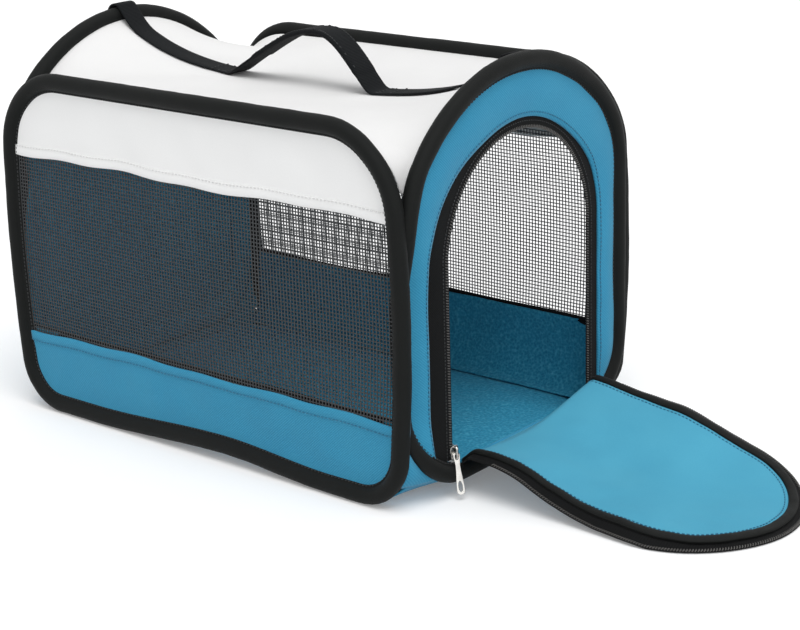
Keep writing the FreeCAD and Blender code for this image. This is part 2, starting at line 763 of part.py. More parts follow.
def make_door():
    """The blue door with its bound edge, its half of the zip and the hem that it turns on."""
    panel = new_body("door_panel")
    outline = new_sketch(panel, "XZ_Plane", "outline")
    draw_door(outline, door_edge_offset, hem_radius + s.layer_gap)
    add_pad(panel, outline, s.fabric_thickness)
    lay_open(panel, nothing)

    binding_outer = door_edge_offset + s.door_tape_seam - s.door_binding_width
    rings = (
        ("door_zip_tape", tape_offset, s.door_tape_width, s.tape_thickness, tape_layer, door_chain_start),
        ("door_binding", binding_outer, s.door_binding_width, s.door_binding_height, binding_layer,
         hem_radius + s.layer_gap),
    )
    for label, outer, width, thickness, layer, start in rings:
        body = new_body(label)
        outside = new_sketch(body, "XZ_Plane", "outside")
        draw_door(outside, outer, start)
        add_pad(body, outside, thickness)
        inside = new_sketch(body, "XZ_Plane", "inside")
        draw_door(inside, outer + width, start - s.layer_gap)
        add_pocket(body, inside)
        lay_open(body, layer)

    coil = new_body("door_zip_coil")
    path = new_sketch(coil, "XZ_Plane", "path")
    half = chain_half - coil_offset
    draw_arch(path, half, door_chain_start, door_leg, door_reach - coil_offset,
              door_shoulder - coil_offset, closed=False)
    add_pipe(coil, path, "XY_Plane", s.coil_diameter, half, nothing, lift=door_chain_start)
    lay_open(coil, tape_layer)

    hem = new_body("door_hem")
    profile = new_sketch(hem, "YZ_Plane", "profile")
    draw_circle(profile, s.door_hem_diameter, nothing, nothing)
    add_pad(hem, profile, (chain_half - door_edge_offset) * 2)
    lay_open(hem, nothing)


def make_slider():
    """The metal slider: two plates joined by a post between the chains, with a bridge for the pull."""
    body = new_body("zip_slider")
    put(body, -chain_half, tape_layer - end_plane, slider_middle)
    half_length = s.slider_length / 2
    shield = new_sketch(body, "XZ_Plane", "shield")
    draw_polygon(shield, [
        (-s.slider_nose_width / 2, -half_length), (s.slider_nose_width / 2, -half_length),
        (s.slider_width / 2, half_length), (-s.slider_width / 2, half_length)])
    add_pad(body, shield, slider_face * 2)
    channel = new_sketch(body, "XZ_Plane", "channel")
    draw_rectangle(channel, s.slider_width, -s.slider_length, s.slider_length)
    draw_rectangle(channel, s.slider_post_width / 2, half_length - s.slider_post_length, half_length)
    add_pocket(body, channel, s.slider_channel)
    bridge = new_sketch(body, "YZ_Plane", "bridge")
    inside = slider_face + s.bridge_window
    outside = inside + s.bridge_thickness
    foot = s.bridge_length / 2
    shoulder = foot - s.bridge_taper
    draw_polygon(bridge, [
        (-slider_face, -foot), (-slider_face, s.bridge_thickness - foot),
        (-inside, s.bridge_thickness - shoulder), (-inside, shoulder - s.bridge_thickness),
        (-slider_face, foot - s.bridge_thickness), (-slider_face, foot),
        (-outside, shoulder), (-outside, -shoulder)])
    add_pad(body, bridge, s.bridge_width)


def pull_lean():
    """How far the pull leans out from upright where it rests on the front of the hoop's sleeve."""
    outer_run = chain_half.number + s.pull_width.number / 2 - corner_middle.number
    radius = s.end_bottom_radius.number
    sleeve_up = end_low.number + radius - math.sqrt(radius ** 2 - outer_run ** 2)
    drop = pull_axis_up.number - sleeve_up
    out = pull_axis_out.number
    clear = sleeve_radius.number + s.pull_thickness.number / 2 + s.slider_gap.number
    return math.degrees(math.asin(clear / math.hypot(drop, out)) - math.atan2(out, drop))


def make_pull():
    """The flat tab that hangs from the slider's bridge by its upper bar, with a slot near its end."""
    body = new_body("zip_pull")
    body.Placement.Rotation = FreeCAD.Rotation(FreeCAD.Vector(-1, 0, 0), pull_lean())
    put(body, -chain_half, -end_plane - pull_axis_out, pull_axis_up)
    bar = s.pull_thickness / 2
    outline = new_sketch(body, "XZ_Plane", "outline")
    draw_ring(outline, s.pull_width / 2, -s.pull_length, bar, s.pull_end_wall, bar)
    add_pad(body, outline, s.pull_thickness)
    holes = new_sketch(body, "XZ_Plane", "holes")
    draw_rectangle(holes, s.pull_eye_width / 2, -bar - s.pull_eye_length, -bar)
    slot_low = s.pull_end_wall - s.pull_length
    slot_round = s.pull_slot_width / 2 - s.layer_gap
    draw_ring(holes, s.pull_slot_width / 2, slot_low, slot_low + s.pull_slot_length, slot_round, slot_round)
    add_pocket(body, holes)


def rounded_path(points):
    """Straight runs joined by tangent arcs, each as large as its two runs allow, in the plane x = 0."""
    vectors = [FreeCAD.Vector(0, along, up) for along, up in points]
    edges = []
    start = vectors[0]
    for before, corner, after in zip(vectors, vectors[1:], vectors[2:]):
        back = (before - corner).normalize()
        onward = (after - corner).normalize()
        trim = BEND_SHARE * min((before - corner).Length, (after - corner).Length)
        first, last = corner + back * trim, corner + onward * trim
        bisector = (back + onward).normalize()
        half_turn = math.acos(back.dot(bisector))
        radius = trim * math.tan(half_turn)
        centre = corner + bisector * (trim / math.cos(half_turn))
        edges.append(Part.makeLine(start, first))
        edges.append(Part.Arc(first, centre - bisector * radius, last).toShape())
        start = last
    edges.append(Part.makeLine(start, vectors[-1]))
    return edges


def webbing(edges, width, thickness):
    """Flat webbing of the given width and thickness along a path in the plane x = 0."""
    path = Part.Wire(edges)
    start = path.OrderedEdges[0]
    origin = start.valueAt(start.FirstParameter)
    tangent = start.tangentAt(start.FirstParameter)
    up = tangent.cross(FreeCAD.Vector(1, 0, 0)).normalize() * (thickness / 2)
    out = FreeCAD.Vector(width / 2, 0, 0)
    corners = [origin + out + up, origin - out + up, origin - out - up, origin + out - up]
    return path.makePipeShell([Part.makePolygon(corners + corners[:1])], True, False)


def strap_height(along):
    return ridge_height(along) + s.strap_gap.number + s.strap_thickness.number / 2


def crest_height():
    return ridge_height(0) + s.grip_rise.number


def fold_end(foot, crest):
    """Where on a ramp the stretch that stays with the roof ends and the tilting grip begins."""
    return foot + (crest - foot) * s.grip_fold_height.number / (crest_height() - strap_height(foot))


def make_handle():
    """The strap over the roof: fixed stretches at both ends and the raised grip between them."""
    reach = end_plane.number - sheet_seat.number
    width = s.strap_width.number
    thickness = s.strap_thickness.number
    gap = s.strap_gap.number
    rear_foot, rear_crest = s.grip_rear_foot.number, s.grip_rear_crest.number
    front_foot, front_crest = s.grip_front_foot.number, s.grip_front_crest.number
    rear_end = fold_end(rear_foot, rear_crest)
    front_end = fold_end(front_foot, front_crest)
    box_low = ridge_height(0) - s.cut_overrun.number
    tall = crest_height()

    def between(first, last):
        return Part.makeBox(2 * width, last - first, tall, FreeCAD.Vector(-width, first, box_low))

    rear_route = [(reach * share, strap_height(reach * share)) for share in ROUTE_SHARES]
    rear_route += [(rear_foot, strap_height(rear_foot)), (rear_crest, crest_height())]
    wrap_radius = sleeve_radius.number + s.fabric_thickness.number + 2 * gap + thickness / 2
    centre = FreeCAD.Vector(0, end_plane.number, end_top.number)
    away = FreeCAD.Vector(0, *rear_route[0]) - centre
    tangent_angle = math.atan2(away.z, away.y) % math.tau - math.acos(wrap_radius / away.Length)

    def on_wrap(angle):
        return centre + FreeCAD.Vector(0, math.cos(angle), math.sin(angle)) * wrap_radius

    wrap_start = math.radians(STRAP_WRAP_ANGLE)
    wrap = Part.Arc(on_wrap(wrap_start), on_wrap((wrap_start + tangent_angle) / 2), on_wrap(tangent_angle))
    leave = on_wrap(tangent_angle)
    rear_edges = [wrap.toShape()] + rounded_path([(leave.y, leave.z)] + rear_route)
    rear = keep(doc.addObject("Part::Feature", "rear_handle_strap"), "rear_handle_strap")
    rear_box = between(rear_end + gap / 2, end_plane.number * 2)
    rear.Shape = webbing(rear_edges, width, thickness).common(rear_box)

    front_start = sleeve_radius.number + gap - end_plane.number
    front_route = [(front_start, strap_height(front_start))]
    front_route += [(-reach * share, strap_height(-reach * share)) for share in ROUTE_SHARES]
    front_route += [(front_foot, strap_height(front_foot)), (front_crest, crest_height())]
    front = keep(doc.addObject("Part::Feature", "front_handle_strap"), "front_handle_strap")
    front_box = between(-end_plane.number * 2, front_end - gap / 2)
    front.Shape = webbing(rounded_path(front_route), width, thickness).common(front_box)

    grip_route = [(rear_foot, strap_height(rear_foot)), (rear_crest, crest_height()),
                  (front_crest, crest_height()), (front_foot, strap_height(front_foot))]
    grip = keep(doc.addObject("Part::Feature", "handle_grip"), "handle_grip")
    grip_box = between(front_end + gap / 2, rear_end - gap / 2)
    grip.Shape = webbing(rounded_path(grip_route), width, s.grip_thickness.number).common(grip_box)


def check_document():
    """Stop if anything in the document failed, before any file is written."""
    doc.recompute()
    for item in doc.Objects:
        if "Invalid" in item.State or "Error" in item.State:
            raise RuntimeError(f"{item.Label} did not build: {item.State}")
    for label, item in nodes.items():
        if item.Shape.isNull() or not item.Shape.isValid() or not item.Shape.Solids:
            raise RuntimeError(f"{label} has no valid solid")


for side_name, side_sign in (("left", -1), ("right", 1)):
    make_side_hoop(side_name, side_sign)
    make_side_panel(side_name, side_sign)
for end_name, end_sign in (("front", -1), ("rear", 1)):
    make_end_hoop(end_name, end_sign)
make_ferrules()
make_end_panels()
make_roof()
make_floor()
make_mat()
make_frame_zip()
make_door()
make_slider()
make_pull()
make_handle()
check_document()

os.makedirs("parts", exist_ok=True)
for node_label, node in nodes.items():
    node.Shape.exportStep(f"parts/{node_label}.step")
    box = node.Shape.BoundBox
    print(f"{node_label}: {len(node.Shape.Solids)} solid, {node.Shape.Volume:.0f} mm3, "
          f"{box.XLength:.1f} x {box.YLength:.1f} x {box.ZLength:.1f} mm")
pull_place = nodes["zip_pull"].Placement.Base
print(f"hinge height {hinge_height.number:.2f}, door droop {door_droop():.3f}, strap foot "
      f"{strap_height(s.grip_rear_foot.number):.2f}, pull axis {pull_place.y:.2f} {pull_place.z:.2f}")
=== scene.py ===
# %% [markdown]
# # A small soft pet carrier
# Four hoops of sprung wire hold this carrier open, and everything between them is cloth. The
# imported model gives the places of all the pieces. This lesson bends the hoops a little, as they
# are on a real carrier, and sews new cloth over the plain solids. Lengths are in metres, +Z is
# up, the door is on -Y and the left side on -X.

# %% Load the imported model
import math
from itertools import product

import bmesh
import bpy
import numpy as np
from mathutils import Matrix, Vector, noise


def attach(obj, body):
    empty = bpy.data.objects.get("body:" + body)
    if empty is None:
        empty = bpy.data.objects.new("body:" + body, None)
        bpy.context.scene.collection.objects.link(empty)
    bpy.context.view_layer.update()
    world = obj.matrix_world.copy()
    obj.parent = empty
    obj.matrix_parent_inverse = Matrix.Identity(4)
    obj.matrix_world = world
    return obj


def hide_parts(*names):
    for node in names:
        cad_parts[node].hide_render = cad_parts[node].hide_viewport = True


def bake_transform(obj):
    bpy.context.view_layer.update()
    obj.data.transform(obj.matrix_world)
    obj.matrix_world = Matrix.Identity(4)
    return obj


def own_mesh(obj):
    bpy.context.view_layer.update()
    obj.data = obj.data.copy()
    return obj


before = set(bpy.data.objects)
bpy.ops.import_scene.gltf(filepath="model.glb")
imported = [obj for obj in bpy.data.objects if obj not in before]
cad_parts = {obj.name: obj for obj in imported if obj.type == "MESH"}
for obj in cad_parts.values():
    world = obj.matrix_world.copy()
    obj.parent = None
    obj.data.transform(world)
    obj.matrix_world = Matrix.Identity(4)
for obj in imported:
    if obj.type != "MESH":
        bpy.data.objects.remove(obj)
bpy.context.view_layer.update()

# %% [markdown]
# ## The camera
# The photograph was taken from the front left, a little above the roof, with a long lens. Its
# angles were fitted to the four hoops. A camera can be aimed with a constraint, but a matrix made
# from three axes also holds the small roll of the picture.

# %% Aim the camera
AZIMUTH, ELEVATION, ROLL = (math.radians(angle) for angle in (-49.898, 17.827, -1.717))
TARGET = Vector((0.008688, -0.083432, 0.092068))
DISTANCE, NEAREST = 1.637316, 0.01
LENS, SENSOR_WIDTH = 90.26, 36  # in millimetres


def add_object(name, data):
    obj = bpy.data.objects.new(name, data)
    bpy.context.collection.objects.link(obj)
    return obj


back = Vector((math.sin(AZIMUTH) * math.cos(ELEVATION),
               -math.cos(AZIMUTH) * math.cos(ELEVATION), math.sin(ELEVATION)))
level = Vector((math.cos(AZIMUTH), math.sin(AZIMUTH), 0))
upright = back.cross(level)
right = level * math.cos(ROLL) + upright * math.sin(ROLL)
up = upright * math.cos(ROLL) - level * math.sin(ROLL)
axes = Matrix((right, up, back)).transposed().to_4x4()

camera = add_object("camera", bpy.data.cameras.new("camera"))
camera.matrix_world = Matrix.Translation(TARGET + back * DISTANCE) @ axes
camera.data.lens, camera.data.sensor_width = LENS, SENSOR_WIDTH
camera.data.clip_start = NEAREST
bpy.context.scene.camera = camera
print("camera at", tuple(round(value, 3) for value in camera.location))

# %% [markdown]
# ## Ground and light
# A catalogue picture has a white ground and soft light from all round. A wide sun gives an even
# light with soft shadows, and the world fills them. The ground shows itself a little brighter to
# the camera than it really is, so it turns white and still keeps the shadow of the carrier.

# %% Helpers for node materials
def feed(tree, node, sources):
    """Gives sockets of a node, by name or number, a value or the output of another node."""
    for socket, source in sources.items():
        if isinstance(source, bpy.types.NodeSocket):
            tree.links.new(source, node.inputs[socket])
        else:
            node.inputs[socket].default_value = source


def add_node(tree, kind, sources=None, **settings):
    node = tree.nodes.new("ShaderNode" + kind)
    for key, value in settings.items():
        setattr(node, key, value)
    feed(tree, node, sources or {})
    return node


def add_math(tree, operation, first, second):
    return add_node(tree, "Math", {0: first, 1: second}, operation=operation).outputs[0]


def colour_ramp(tree, source, *colours):
    """Colours spread evenly over a value from 0 to 1."""
    ramp = add_node(tree, "ValToRGB", {"Fac": source})
    elements = ramp.color_ramp.elements
    while len(elements) < len(colours):
        elements.new(0.5)
    for index, colour in enumerate(colours):
        elements[index].position = index / (len(colours) - 1)
        elements[index].color = (*colour, 1)
    return ramp.outputs["Color"]


def new_material(name):
    """A material, its node tree and its principled shader."""
    material = bpy.data.materials.new(name)
    material.use_nodes = True
    return material, material.node_tree, material.node_tree.nodes["Principled BSDF"]


def seen_rays(tree):
    """The kinds of rays, and a value of 1 for those that come from the camera or a mirror."""
    rays = add_node(tree, "LightPath").outputs
    return rays, add_math(tree, "MAXIMUM", rays["Is Camera Ray"], rays["Is Glossy Ray"])


print("helpers for materials ready")

# %% Lay the ground
GROUND_HALF, GROUND_LEVEL, GROUND_GLOW = 6, -0.0004, 0.16

ground_mesh = bpy.data.meshes.new("ground")
ground_mesh.from_pydata([(x * GROUND_HALF, y * GROUND_HALF, GROUND_LEVEL)
                         for x, y in ((-1, -1), (1, -1), (1, 1), (-1, 1))], [], [(0, 1, 2, 3)])
ground = add_object("ground", ground_mesh)
paper, tree, shader = new_material("white_paper")
grain = add_node(tree, "TexNoise", {"Scale": 60.0, "Detail": 3.0}).outputs["Fac"]
feed(tree, shader, {"Base Color": colour_ramp(tree, grain, (0.87,) * 3, (0.91,) * 3),
                    "Roughness": 0.9, "Specular IOR Level": 0.1})
_, seen = seen_rays(tree)
glow = add_node(tree, "Emission", {"Strength": add_math(tree, "MULTIPLY", seen, GROUND_GLOW)})
both = add_node(tree, "AddShader", {0: shader.outputs[0], 1: glow.outputs[0]})
feed(tree, tree.nodes["Material Output"], {"Surface": both.outputs[0]})
ground.data.materials.append(paper)
print("white ground")

# %% Light it
WORLD_LEVEL = 0.60

scene = bpy.context.scene
scene.view_settings.view_transform = "Standard"
scene.world = bpy.data.worlds.new("studio")
scene.world.use_nodes = True
tree = scene.world.node_tree
soft = tree.nodes["Background"]
feed(tree, soft, {"Color": (0.98, 0.99, 1.0, 1), "Strength": WORLD_LEVEL})
white = add_node(tree, "Background", {"Color": (1, 1, 1, 1)})
rays, seen = seen_rays(tree)
through = add_math(tree, "MAXIMUM", seen, rays["Is Transmission Ray"])
choice = add_node(tree, "MixShader", {0: through, 1: soft.outputs[0], 2: white.outputs[0]})
feed(tree, tree.nodes["World Output"], {"Surface": choice.outputs[0]})


def add_sun(name, strength, spread, aim):
    """A distant lamp that shines along aim, with a soft edge to its shadows."""
    lamp = bpy.data.lights.new(name, "SUN")
    lamp.energy, lamp.angle = strength, math.radians(spread)
    add_object(name, lamp).rotation_euler = Vector(aim).to_track_quat("-Z", "Y").to_euler()


add_sun("key_light", 1.45, 40, (0.25, 0.40, -1.2))
add_sun("fill_light", 0.60, 70, (0.5, 0.85, -0.6))
print("two soft suns and a pale world")

# %% [markdown]
# ## Cloth
# Every cloth here is woven or knitted, and close up the threads show. A picture of cloth could be
# wrapped on, but a few nodes give the same threads at their real size at any distance. Each mesh
# gets a map called Weave whose units are metres of cloth, so that one number sets the pitch of
# the threads. Bands across and along make a plain weave, slanted bands make a twill, and noise
# breaks them up.

# %% Helpers for finishes
def speckle(tree, places, scale, detail):
    """Noise from 0 to 1 at places."""
    specks = add_node(tree, "TexNoise", {"Vector": places, "Scale": scale, "Detail": detail})
    return specks.outputs["Fac"]


def mix(tree, first, second, share):
    return add_node(tree, "Mix", {"A": first, "B": second, "Factor": share}).outputs[0]


def spread_over(tree, value, low, high):
    return add_node(tree, "MapRange", {"Value": value, "To Min": low, "To Max": high}).outputs[0]


def relief_of(tree, height, strength, distance):
    bump = add_node(tree, "Bump", {"Height": height, "Strength": strength, "Distance": distance})
    return bump.outputs[0]


def object_places(tree):
    return add_node(tree, "TexCoord").outputs["Object"]


def thread_bands(tree, weave, pitch, direction):
    """Stripes of thread at a pitch in metres, by the map of the cloth."""
    bands = add_node(tree, "TexWave", {"Vector": weave, "Scale": 2 * math.pi / (20 * pitch),
                                       "Distortion": 0.0}, bands_direction=direction)
    return bands.outputs["Fac"]


print("helpers for finishes ready")


# %% Cloth finishes
def cloth(name, dark, light, pitch, twill=False, rough=0.85, sheen=0.15, depth=0.35, fuzz=0.4,
          tone_and_painted_shade=0.12, shine=0.25):
    """A woven finish between two colours, with the threads' relief, fluff and slow shading."""
    material, tree, shader = new_material(name)
    weave = add_node(tree, "UVMap", uv_map="Weave").outputs[0]
    first = thread_bands(tree, weave, pitch, "DIAGONAL" if twill else "X")
    second = thread_bands(tree, weave, pitch, "Y")
    cross, blend = ("MULTIPLY", "ADD") if twill else ("ADD", "MULTIPLY")
    threads = add_math(tree, blend, add_math(tree, cross, first, second), first)
    threads = add_math(tree, "MULTIPLY", threads, 0.5)
    # The threads' relief also sets the colour: the gaps between threads get painted shade and the
    # crests painted light, and the fluff adds random tone.
    relief = mix(tree, threads, speckle(tree, weave, 0.55 / pitch, 3.0), fuzz)
    # Slow noise paints soft patches of light and shade into the colour, along with random tone.
    slow = speckle(tree, object_places(tree), 22.0, 4.0)
    shading = mix(tree, relief, slow, tone_and_painted_shade + 0.18)
    feed(tree, shader, {"Base Color": colour_ramp(tree, shading, dark, light),
                        "Roughness": spread_over(tree, slow, rough - 0.1, min(1.0, rough + 0.1)),
                        "Normal": relief_of(tree, relief, depth, pitch * 0.35),
                        "Sheen Weight": sheen, "Sheen Roughness": 0.45,
                        "Specular IOR Level": shine})
    return material


white_cloth = cloth("white_cloth", (0.82, 0.82, 0.815), (0.93, 0.93, 0.925), 0.0008, sheen=0.0,
                    depth=0.07)
# A darker copy of the same white cloth goes on the roof: painted shade on the top, which faces the
# lamps.
roof_white_painted_shade = cloth("roof_white_painted_shade", (0.75, 0.745, 0.74), (0.86, 0.855, 0.85), 0.0008, sheen=0.0,
                   depth=0.07)
white_lining = cloth("white_lining", (0.60, 0.60, 0.60), (0.78, 0.78, 0.78), 0.0008, sheen=0.05,
                     depth=0.2)
blue_twill = cloth("blue_twill", (0.010, 0.180, 0.345), (0.058, 0.350, 0.520), 0.0011, twill=True,
                   depth=0.5)
# The lining gets stronger slow patches of painted light and shade.
blue_lining = cloth("blue_lining", (0.044, 0.288, 0.448), (0.105, 0.432, 0.588), 0.0007,
                    sheen=0.04, depth=0.2, fuzz=0.5, tone_and_painted_shade=0.30)
black_cloth = cloth("black_cloth", (0.0022, 0.0025, 0.0024), (0.010, 0.0115, 0.0108), 0.0008,
                    sheen=0.02, rough=0.66, depth=0.5, shine=0.14)
black_tape = cloth("black_tape", (0.0026, 0.0027, 0.0028), (0.011, 0.0115, 0.012), 0.0010,
                   twill=True, sheen=0.02, depth=0.6, shine=0.12)
net_thread = cloth("net_thread", (0.024, 0.026, 0.028), (0.085, 0.090, 0.094), 0.0006, rough=0.6,
                   depth=0.3)
webbing = cloth("webbing", (0.0028, 0.0032, 0.0038), (0.015, 0.017, 0.019), 0.0013, sheen=0.02,
                depth=0.8, fuzz=0.25, shine=0.12)
dark_thread = cloth("dark_thread", (0.012, 0.013, 0.014), (0.045, 0.048, 0.050), 0.0005, depth=0.3)
white_thread = cloth("white_thread", (0.68, 0.68, 0.67), (0.84, 0.84, 0.83), 0.0005, depth=0.3)
blue_thread = cloth("blue_thread", (0.018, 0.130, 0.230), (0.040, 0.220, 0.350), 0.0005, depth=0.3)
print("twelve woven finishes")

# %% [markdown]
# The mat and the inside of the lower bands are short plush. Plush has no threads to see, only
# tufts, so its nodes are two sizes of speckle with a deep relief and a soft sheen along grazing
# edges.

# %% Plush finish
TUFT = 0.0022


def plush(name, dark, middle, light):
    material, tree, shader = new_material(name)
    places = object_places(tree)
    tufts = add_node(tree, "TexVoronoi", {"Vector": places, "Scale": 1 / TUFT, "Randomness": 1.0})
    # The tufts' relief also sets the colour: hollows get painted shade and crests painted light,
    # mixed with random flecks.
    mixed = mix(tree, tufts.outputs["Distance"], speckle(tree, places, 0.8 / TUFT, 4.0), 0.6)
    feed(tree, shader, {"Base Color": colour_ramp(tree, mixed, dark, middle, light),
                        "Normal": relief_of(tree, mixed, 0.8, TUFT * 0.6), "Roughness": 0.95,
                        "Sheen Weight": 0.06, "Sheen Roughness": 0.5, "Specular IOR Level": 0.1})
    return material


blue_plush = plush("blue_plush", (0.007, 0.088, 0.165), (0.024, 0.222, 0.365),
                   (0.095, 0.440, 0.605))
# The mat gets a lighter copy of the linings' blue plush: painted light on the floor, which faces
# the lamps.
mat_plush_painted_light = plush("mat_plush_painted_light", (0.009, 0.118, 0.225), (0.031, 0.300, 0.490), (0.120, 0.540, 0.720))
print("two plush finishes")

# %% [markdown]
# The zip has bright plated metal and black nylon, and the wires are drawn steel. Metal shows what
# is round it, so its nodes only need fine scratches, a slightly uneven polish and a few dull
# spots. The zip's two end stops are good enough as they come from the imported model, so they only
# get a finish.

# %% Metal and nylon finishes
def metal(name, dark, light, rough, scratch):
    material, tree, shader = new_material(name)
    places = object_places(tree)
    stretch = add_node(tree, "Mapping", {"Vector": places, "Scale": (1.0, 1.0, 0.12)}).outputs[0]
    lines = speckle(tree, stretch, scratch, 5.0)
    spots = speckle(tree, places, 240.0, 2.0)
    feed(tree, shader, {"Base Color": colour_ramp(tree, spots, dark, light), "Metallic": 1.0,
                        "Roughness": spread_over(tree, lines, rough * 0.6, rough * 1.5),
                        "Normal": relief_of(tree, lines, 0.06, 0.0002)})
    return material


nickel = metal("nickel", (0.50, 0.49, 0.47), (0.74, 0.73, 0.70), 0.24, 2600.0)
drawn_steel = metal("drawn_steel", (0.38, 0.38, 0.38), (0.55, 0.55, 0.54), 0.35, 3500.0)
nylon = cloth("nylon", (0.040, 0.038, 0.036), (0.120, 0.115, 0.108), 0.0006, rough=0.34, sheen=0.0,
              depth=0.1, shine=0.5)
stop_mesh = bpy.data.objects["zip_end_stops"].data
stop_mesh.materials.clear()
stop_mesh.materials.append(nickel)
print("nickel, drawn steel and nylon")

# %% [markdown]
# ## Meshes from rows of points
# Nearly all the cloth is a grid: rows of points, with a face between each four. A grid can be
# pulled from Blender's own primitives and sculpted, but here the shapes are known as formulas, so
# each piece is worked out as an array of points. One helper makes the faces and the cloth map,
# and one makes the object.

# %% Helpers for grids
def lattice(places, ring=False, loop=False, cloth_map=None):
    """Points, faces and cloth coordinates of rows of points.

    A ring joins the ends of each row, and a loop joins the last row to the first.
    """
    rows, columns = places.shape[:2]
    i, j = np.meshgrid(np.arange(rows if loop else rows - 1),
                       np.arange(columns if ring else columns - 1), indexing="ij")
    i, j = i.ravel(), j.ravel()
    next_i, next_j = (i + 1) % rows, (j + 1) % columns
    faces = np.stack([i * columns + j, i * columns + next_j,
                      next_i * columns + next_j, next_i * columns + j], 1)
    if cloth_map is None:
        ahead = np.linalg.norm(np.roll(places, -1, 0) - places, axis=2).mean(1)
        aside = np.linalg.norm(np.roll(places, -1, 1) - places, axis=2).mean(0)
        u, v = np.append(0, np.cumsum(ahead)), np.append(0, np.cumsum(aside))
        corners = [(u[i], v[j]), (u[i], v[j + 1]), (u[i + 1], v[j + 1]), (u[i + 1], v[j])]
    else:
        flat = cloth_map.reshape(-1, 2)
        corners = [flat[faces[:, corner]].T for corner in range(4)]
    uvs = np.stack([np.stack(corner, 1) for corner in corners], 1)
    return places.reshape(-1, 3), faces.tolist(), uvs.reshape(-1, 2)


def capped(places, cloth_map=None, both=True):
    """A tube of rows of points with its last end closed, or both of its ends."""
    points, faces, uvs = lattice(places, ring=True, cloth_map=cloth_map)
    columns = places.shape[1]
    ends = [list(range(len(points) - columns, len(points)))]
    if both:
        ends.insert(0, list(range(columns))[::-1])
    return points, faces + ends, np.vstack([uvs, np.zeros((len(ends) * columns, 2))])


def hand_over(obj, body, nodes):
    """Puts a piece on what it rides on and hides the CAD nodes it stands for."""
    if body:
        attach(obj, body)
    if nodes:
        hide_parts(*nodes)


def thicken(obj, thickness):
    """Gives a sheet its thickness. Its second material goes on the back."""
    solid = obj.modifiers.new("thickness", "SOLIDIFY")
    solid.thickness, solid.offset = thickness, 0
    solid.material_offset = len(obj.data.materials) - 1


def sew(name, parts, materials, slot, *nodes, body="shell", closed=False, smooth=True,
        thickness=0):
    """One object made of parts. A closed one gets its faces turned outwards."""
    points, faces, start = [], [], 0
    for places, part_faces, _ in parts:
        faces += [[corner + start for corner in face] for face in part_faces]
        points.append(places)
        start += len(places)
    mesh = bpy.data.meshes.new(name)
    mesh.from_pydata(np.concatenate(points).tolist(), [], faces)
    weave = mesh.uv_layers.new(name="Weave")
    weave.data.foreach_set("uv", np.concatenate([part[2] for part in parts]).ravel())
    if closed:
        shell = bmesh.new()
        shell.from_mesh(mesh)
        bmesh.ops.recalc_face_normals(shell, faces=shell.faces)
        shell.to_mesh(mesh)
        shell.free()
    mesh.polygons.foreach_set("use_smooth", [smooth] * len(mesh.polygons))
    for material in materials:
        mesh.materials.append(material)
    obj = add_object(name, mesh)
    if thickness:
        thicken(obj, thickness)
    hand_over(obj, body, nodes)
    return obj


print("helpers for grids ready")


# %% Helpers for lines
def length_of(line):
    return float(np.linalg.norm(np.diff(line, axis=0), axis=1).sum())


def unit(vectors):
    return vectors / np.maximum(np.linalg.norm(vectors, axis=-1, keepdims=True), 1e-12)


def even(points, count, closed=False):
    """Points at equal steps along a line of points."""
    line = np.vstack([points, points[:1]]) if closed else np.asarray(points, float)
    steps = np.append(0, np.cumsum(np.linalg.norm(np.diff(line, axis=0), axis=1)))
    stations = np.linspace(0, steps[-1], count, endpoint=not closed)
    return np.stack([np.interp(stations, steps, column) for column in line.T], 1)


def spaced(line, facing, count):
    """Even points along a line on a surface, and normals. Facing is one normal or one a point."""
    facing = np.broadcast_to(np.asarray(facing, float), np.shape(line))
    both = even(np.hstack([line, facing]), count)
    return both[:, :3], unit(both[:, 3:])


def ease(value, zero, one):
    """A soft step from 0 at one value to 1 at another. It falls where zero is the larger."""
    share = np.clip((value - zero) / (one - zero), 0, 1)
    return share * share * (3 - 2 * share)


def uneven(points, size, seed):
    """Soft noise from -1 to 1 at points, with lumps of a size in metres."""
    shift = Vector((seed * 7.3, seed * 3.1, seed * 5.7))
    flat = np.asarray(points).reshape(-1, 3)
    values = [noise.noise(Vector(place) / size + shift) for place in flat]
    return np.array(values).reshape(np.asarray(points).shape[:-1])


def round_thread(line, radius, facing, sides=5):
    """A tube along a line that may twist."""
    tangent = unit(np.gradient(line, axis=0))
    aside = unit(np.cross(tangent, facing))
    top = np.cross(aside, tangent)
    turn = 2 * math.pi * np.arange(sides)[:, None] / sides
    return line[:, None] + radius * (np.cos(turn) * aside[:, None] + np.sin(turn) * top[:, None])


print("helpers for lines ready")

# %% [markdown]
# ## The hoops' outlines
# Each side hoop is a rounded rectangle. Each end hoop is flat below and an arch of three arcs
# above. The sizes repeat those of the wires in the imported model. On the real carrier no hoop is
# quite true: the legs bow, and the bottom runs rise to a kink where the wire's ends are joined.
# The slouch function moves the hoop and everything sewn to it by the same amount, so that no seam
# opens.

# %% Outlines of the hoops
SIDES, ENDS = ((-1, "left"), (1, "right")), ((-1, "front"), (1, "rear"))
SIDE_PLANE, END_PLANE = 0.141, 0.213
SLEEVE_RADIUS = 0.0067
SHEET_SEAT = 0.00523  # from a wire to the sheet that is sewn round its sleeve
SIDE_HALF, SIDE_LOW, SIDE_HIGH = 0.20402, 0.0062, 0.2863
SIDE_TOP_RADIUS, SIDE_BOTTOM_RADIUS = 0.059, 0.036
END_HALF, END_LOW, END_SPRING, END_TOP = 0.13202, 0.0153, 0.2153, 0.3157
SHOULDER_RADIUS, END_CORNER_RADIUS = 0.074, 0.054


def arc(across, height, radius, first, last, count=16):
    turn = np.radians(np.linspace(first, last, count))
    return np.stack([across + radius * np.cos(turn), height + radius * np.sin(turn)], 1)


def crown_of(half, rise, shoulder):
    """Radius of the middle arc of a three-arc arch, and the angle where it meets the shoulders."""
    reach = half - shoulder
    radius = (reach ** 2 + rise ** 2 - shoulder ** 2) / (2 * (rise - shoulder))
    return radius, math.degrees(math.atan2(radius - rise, reach))


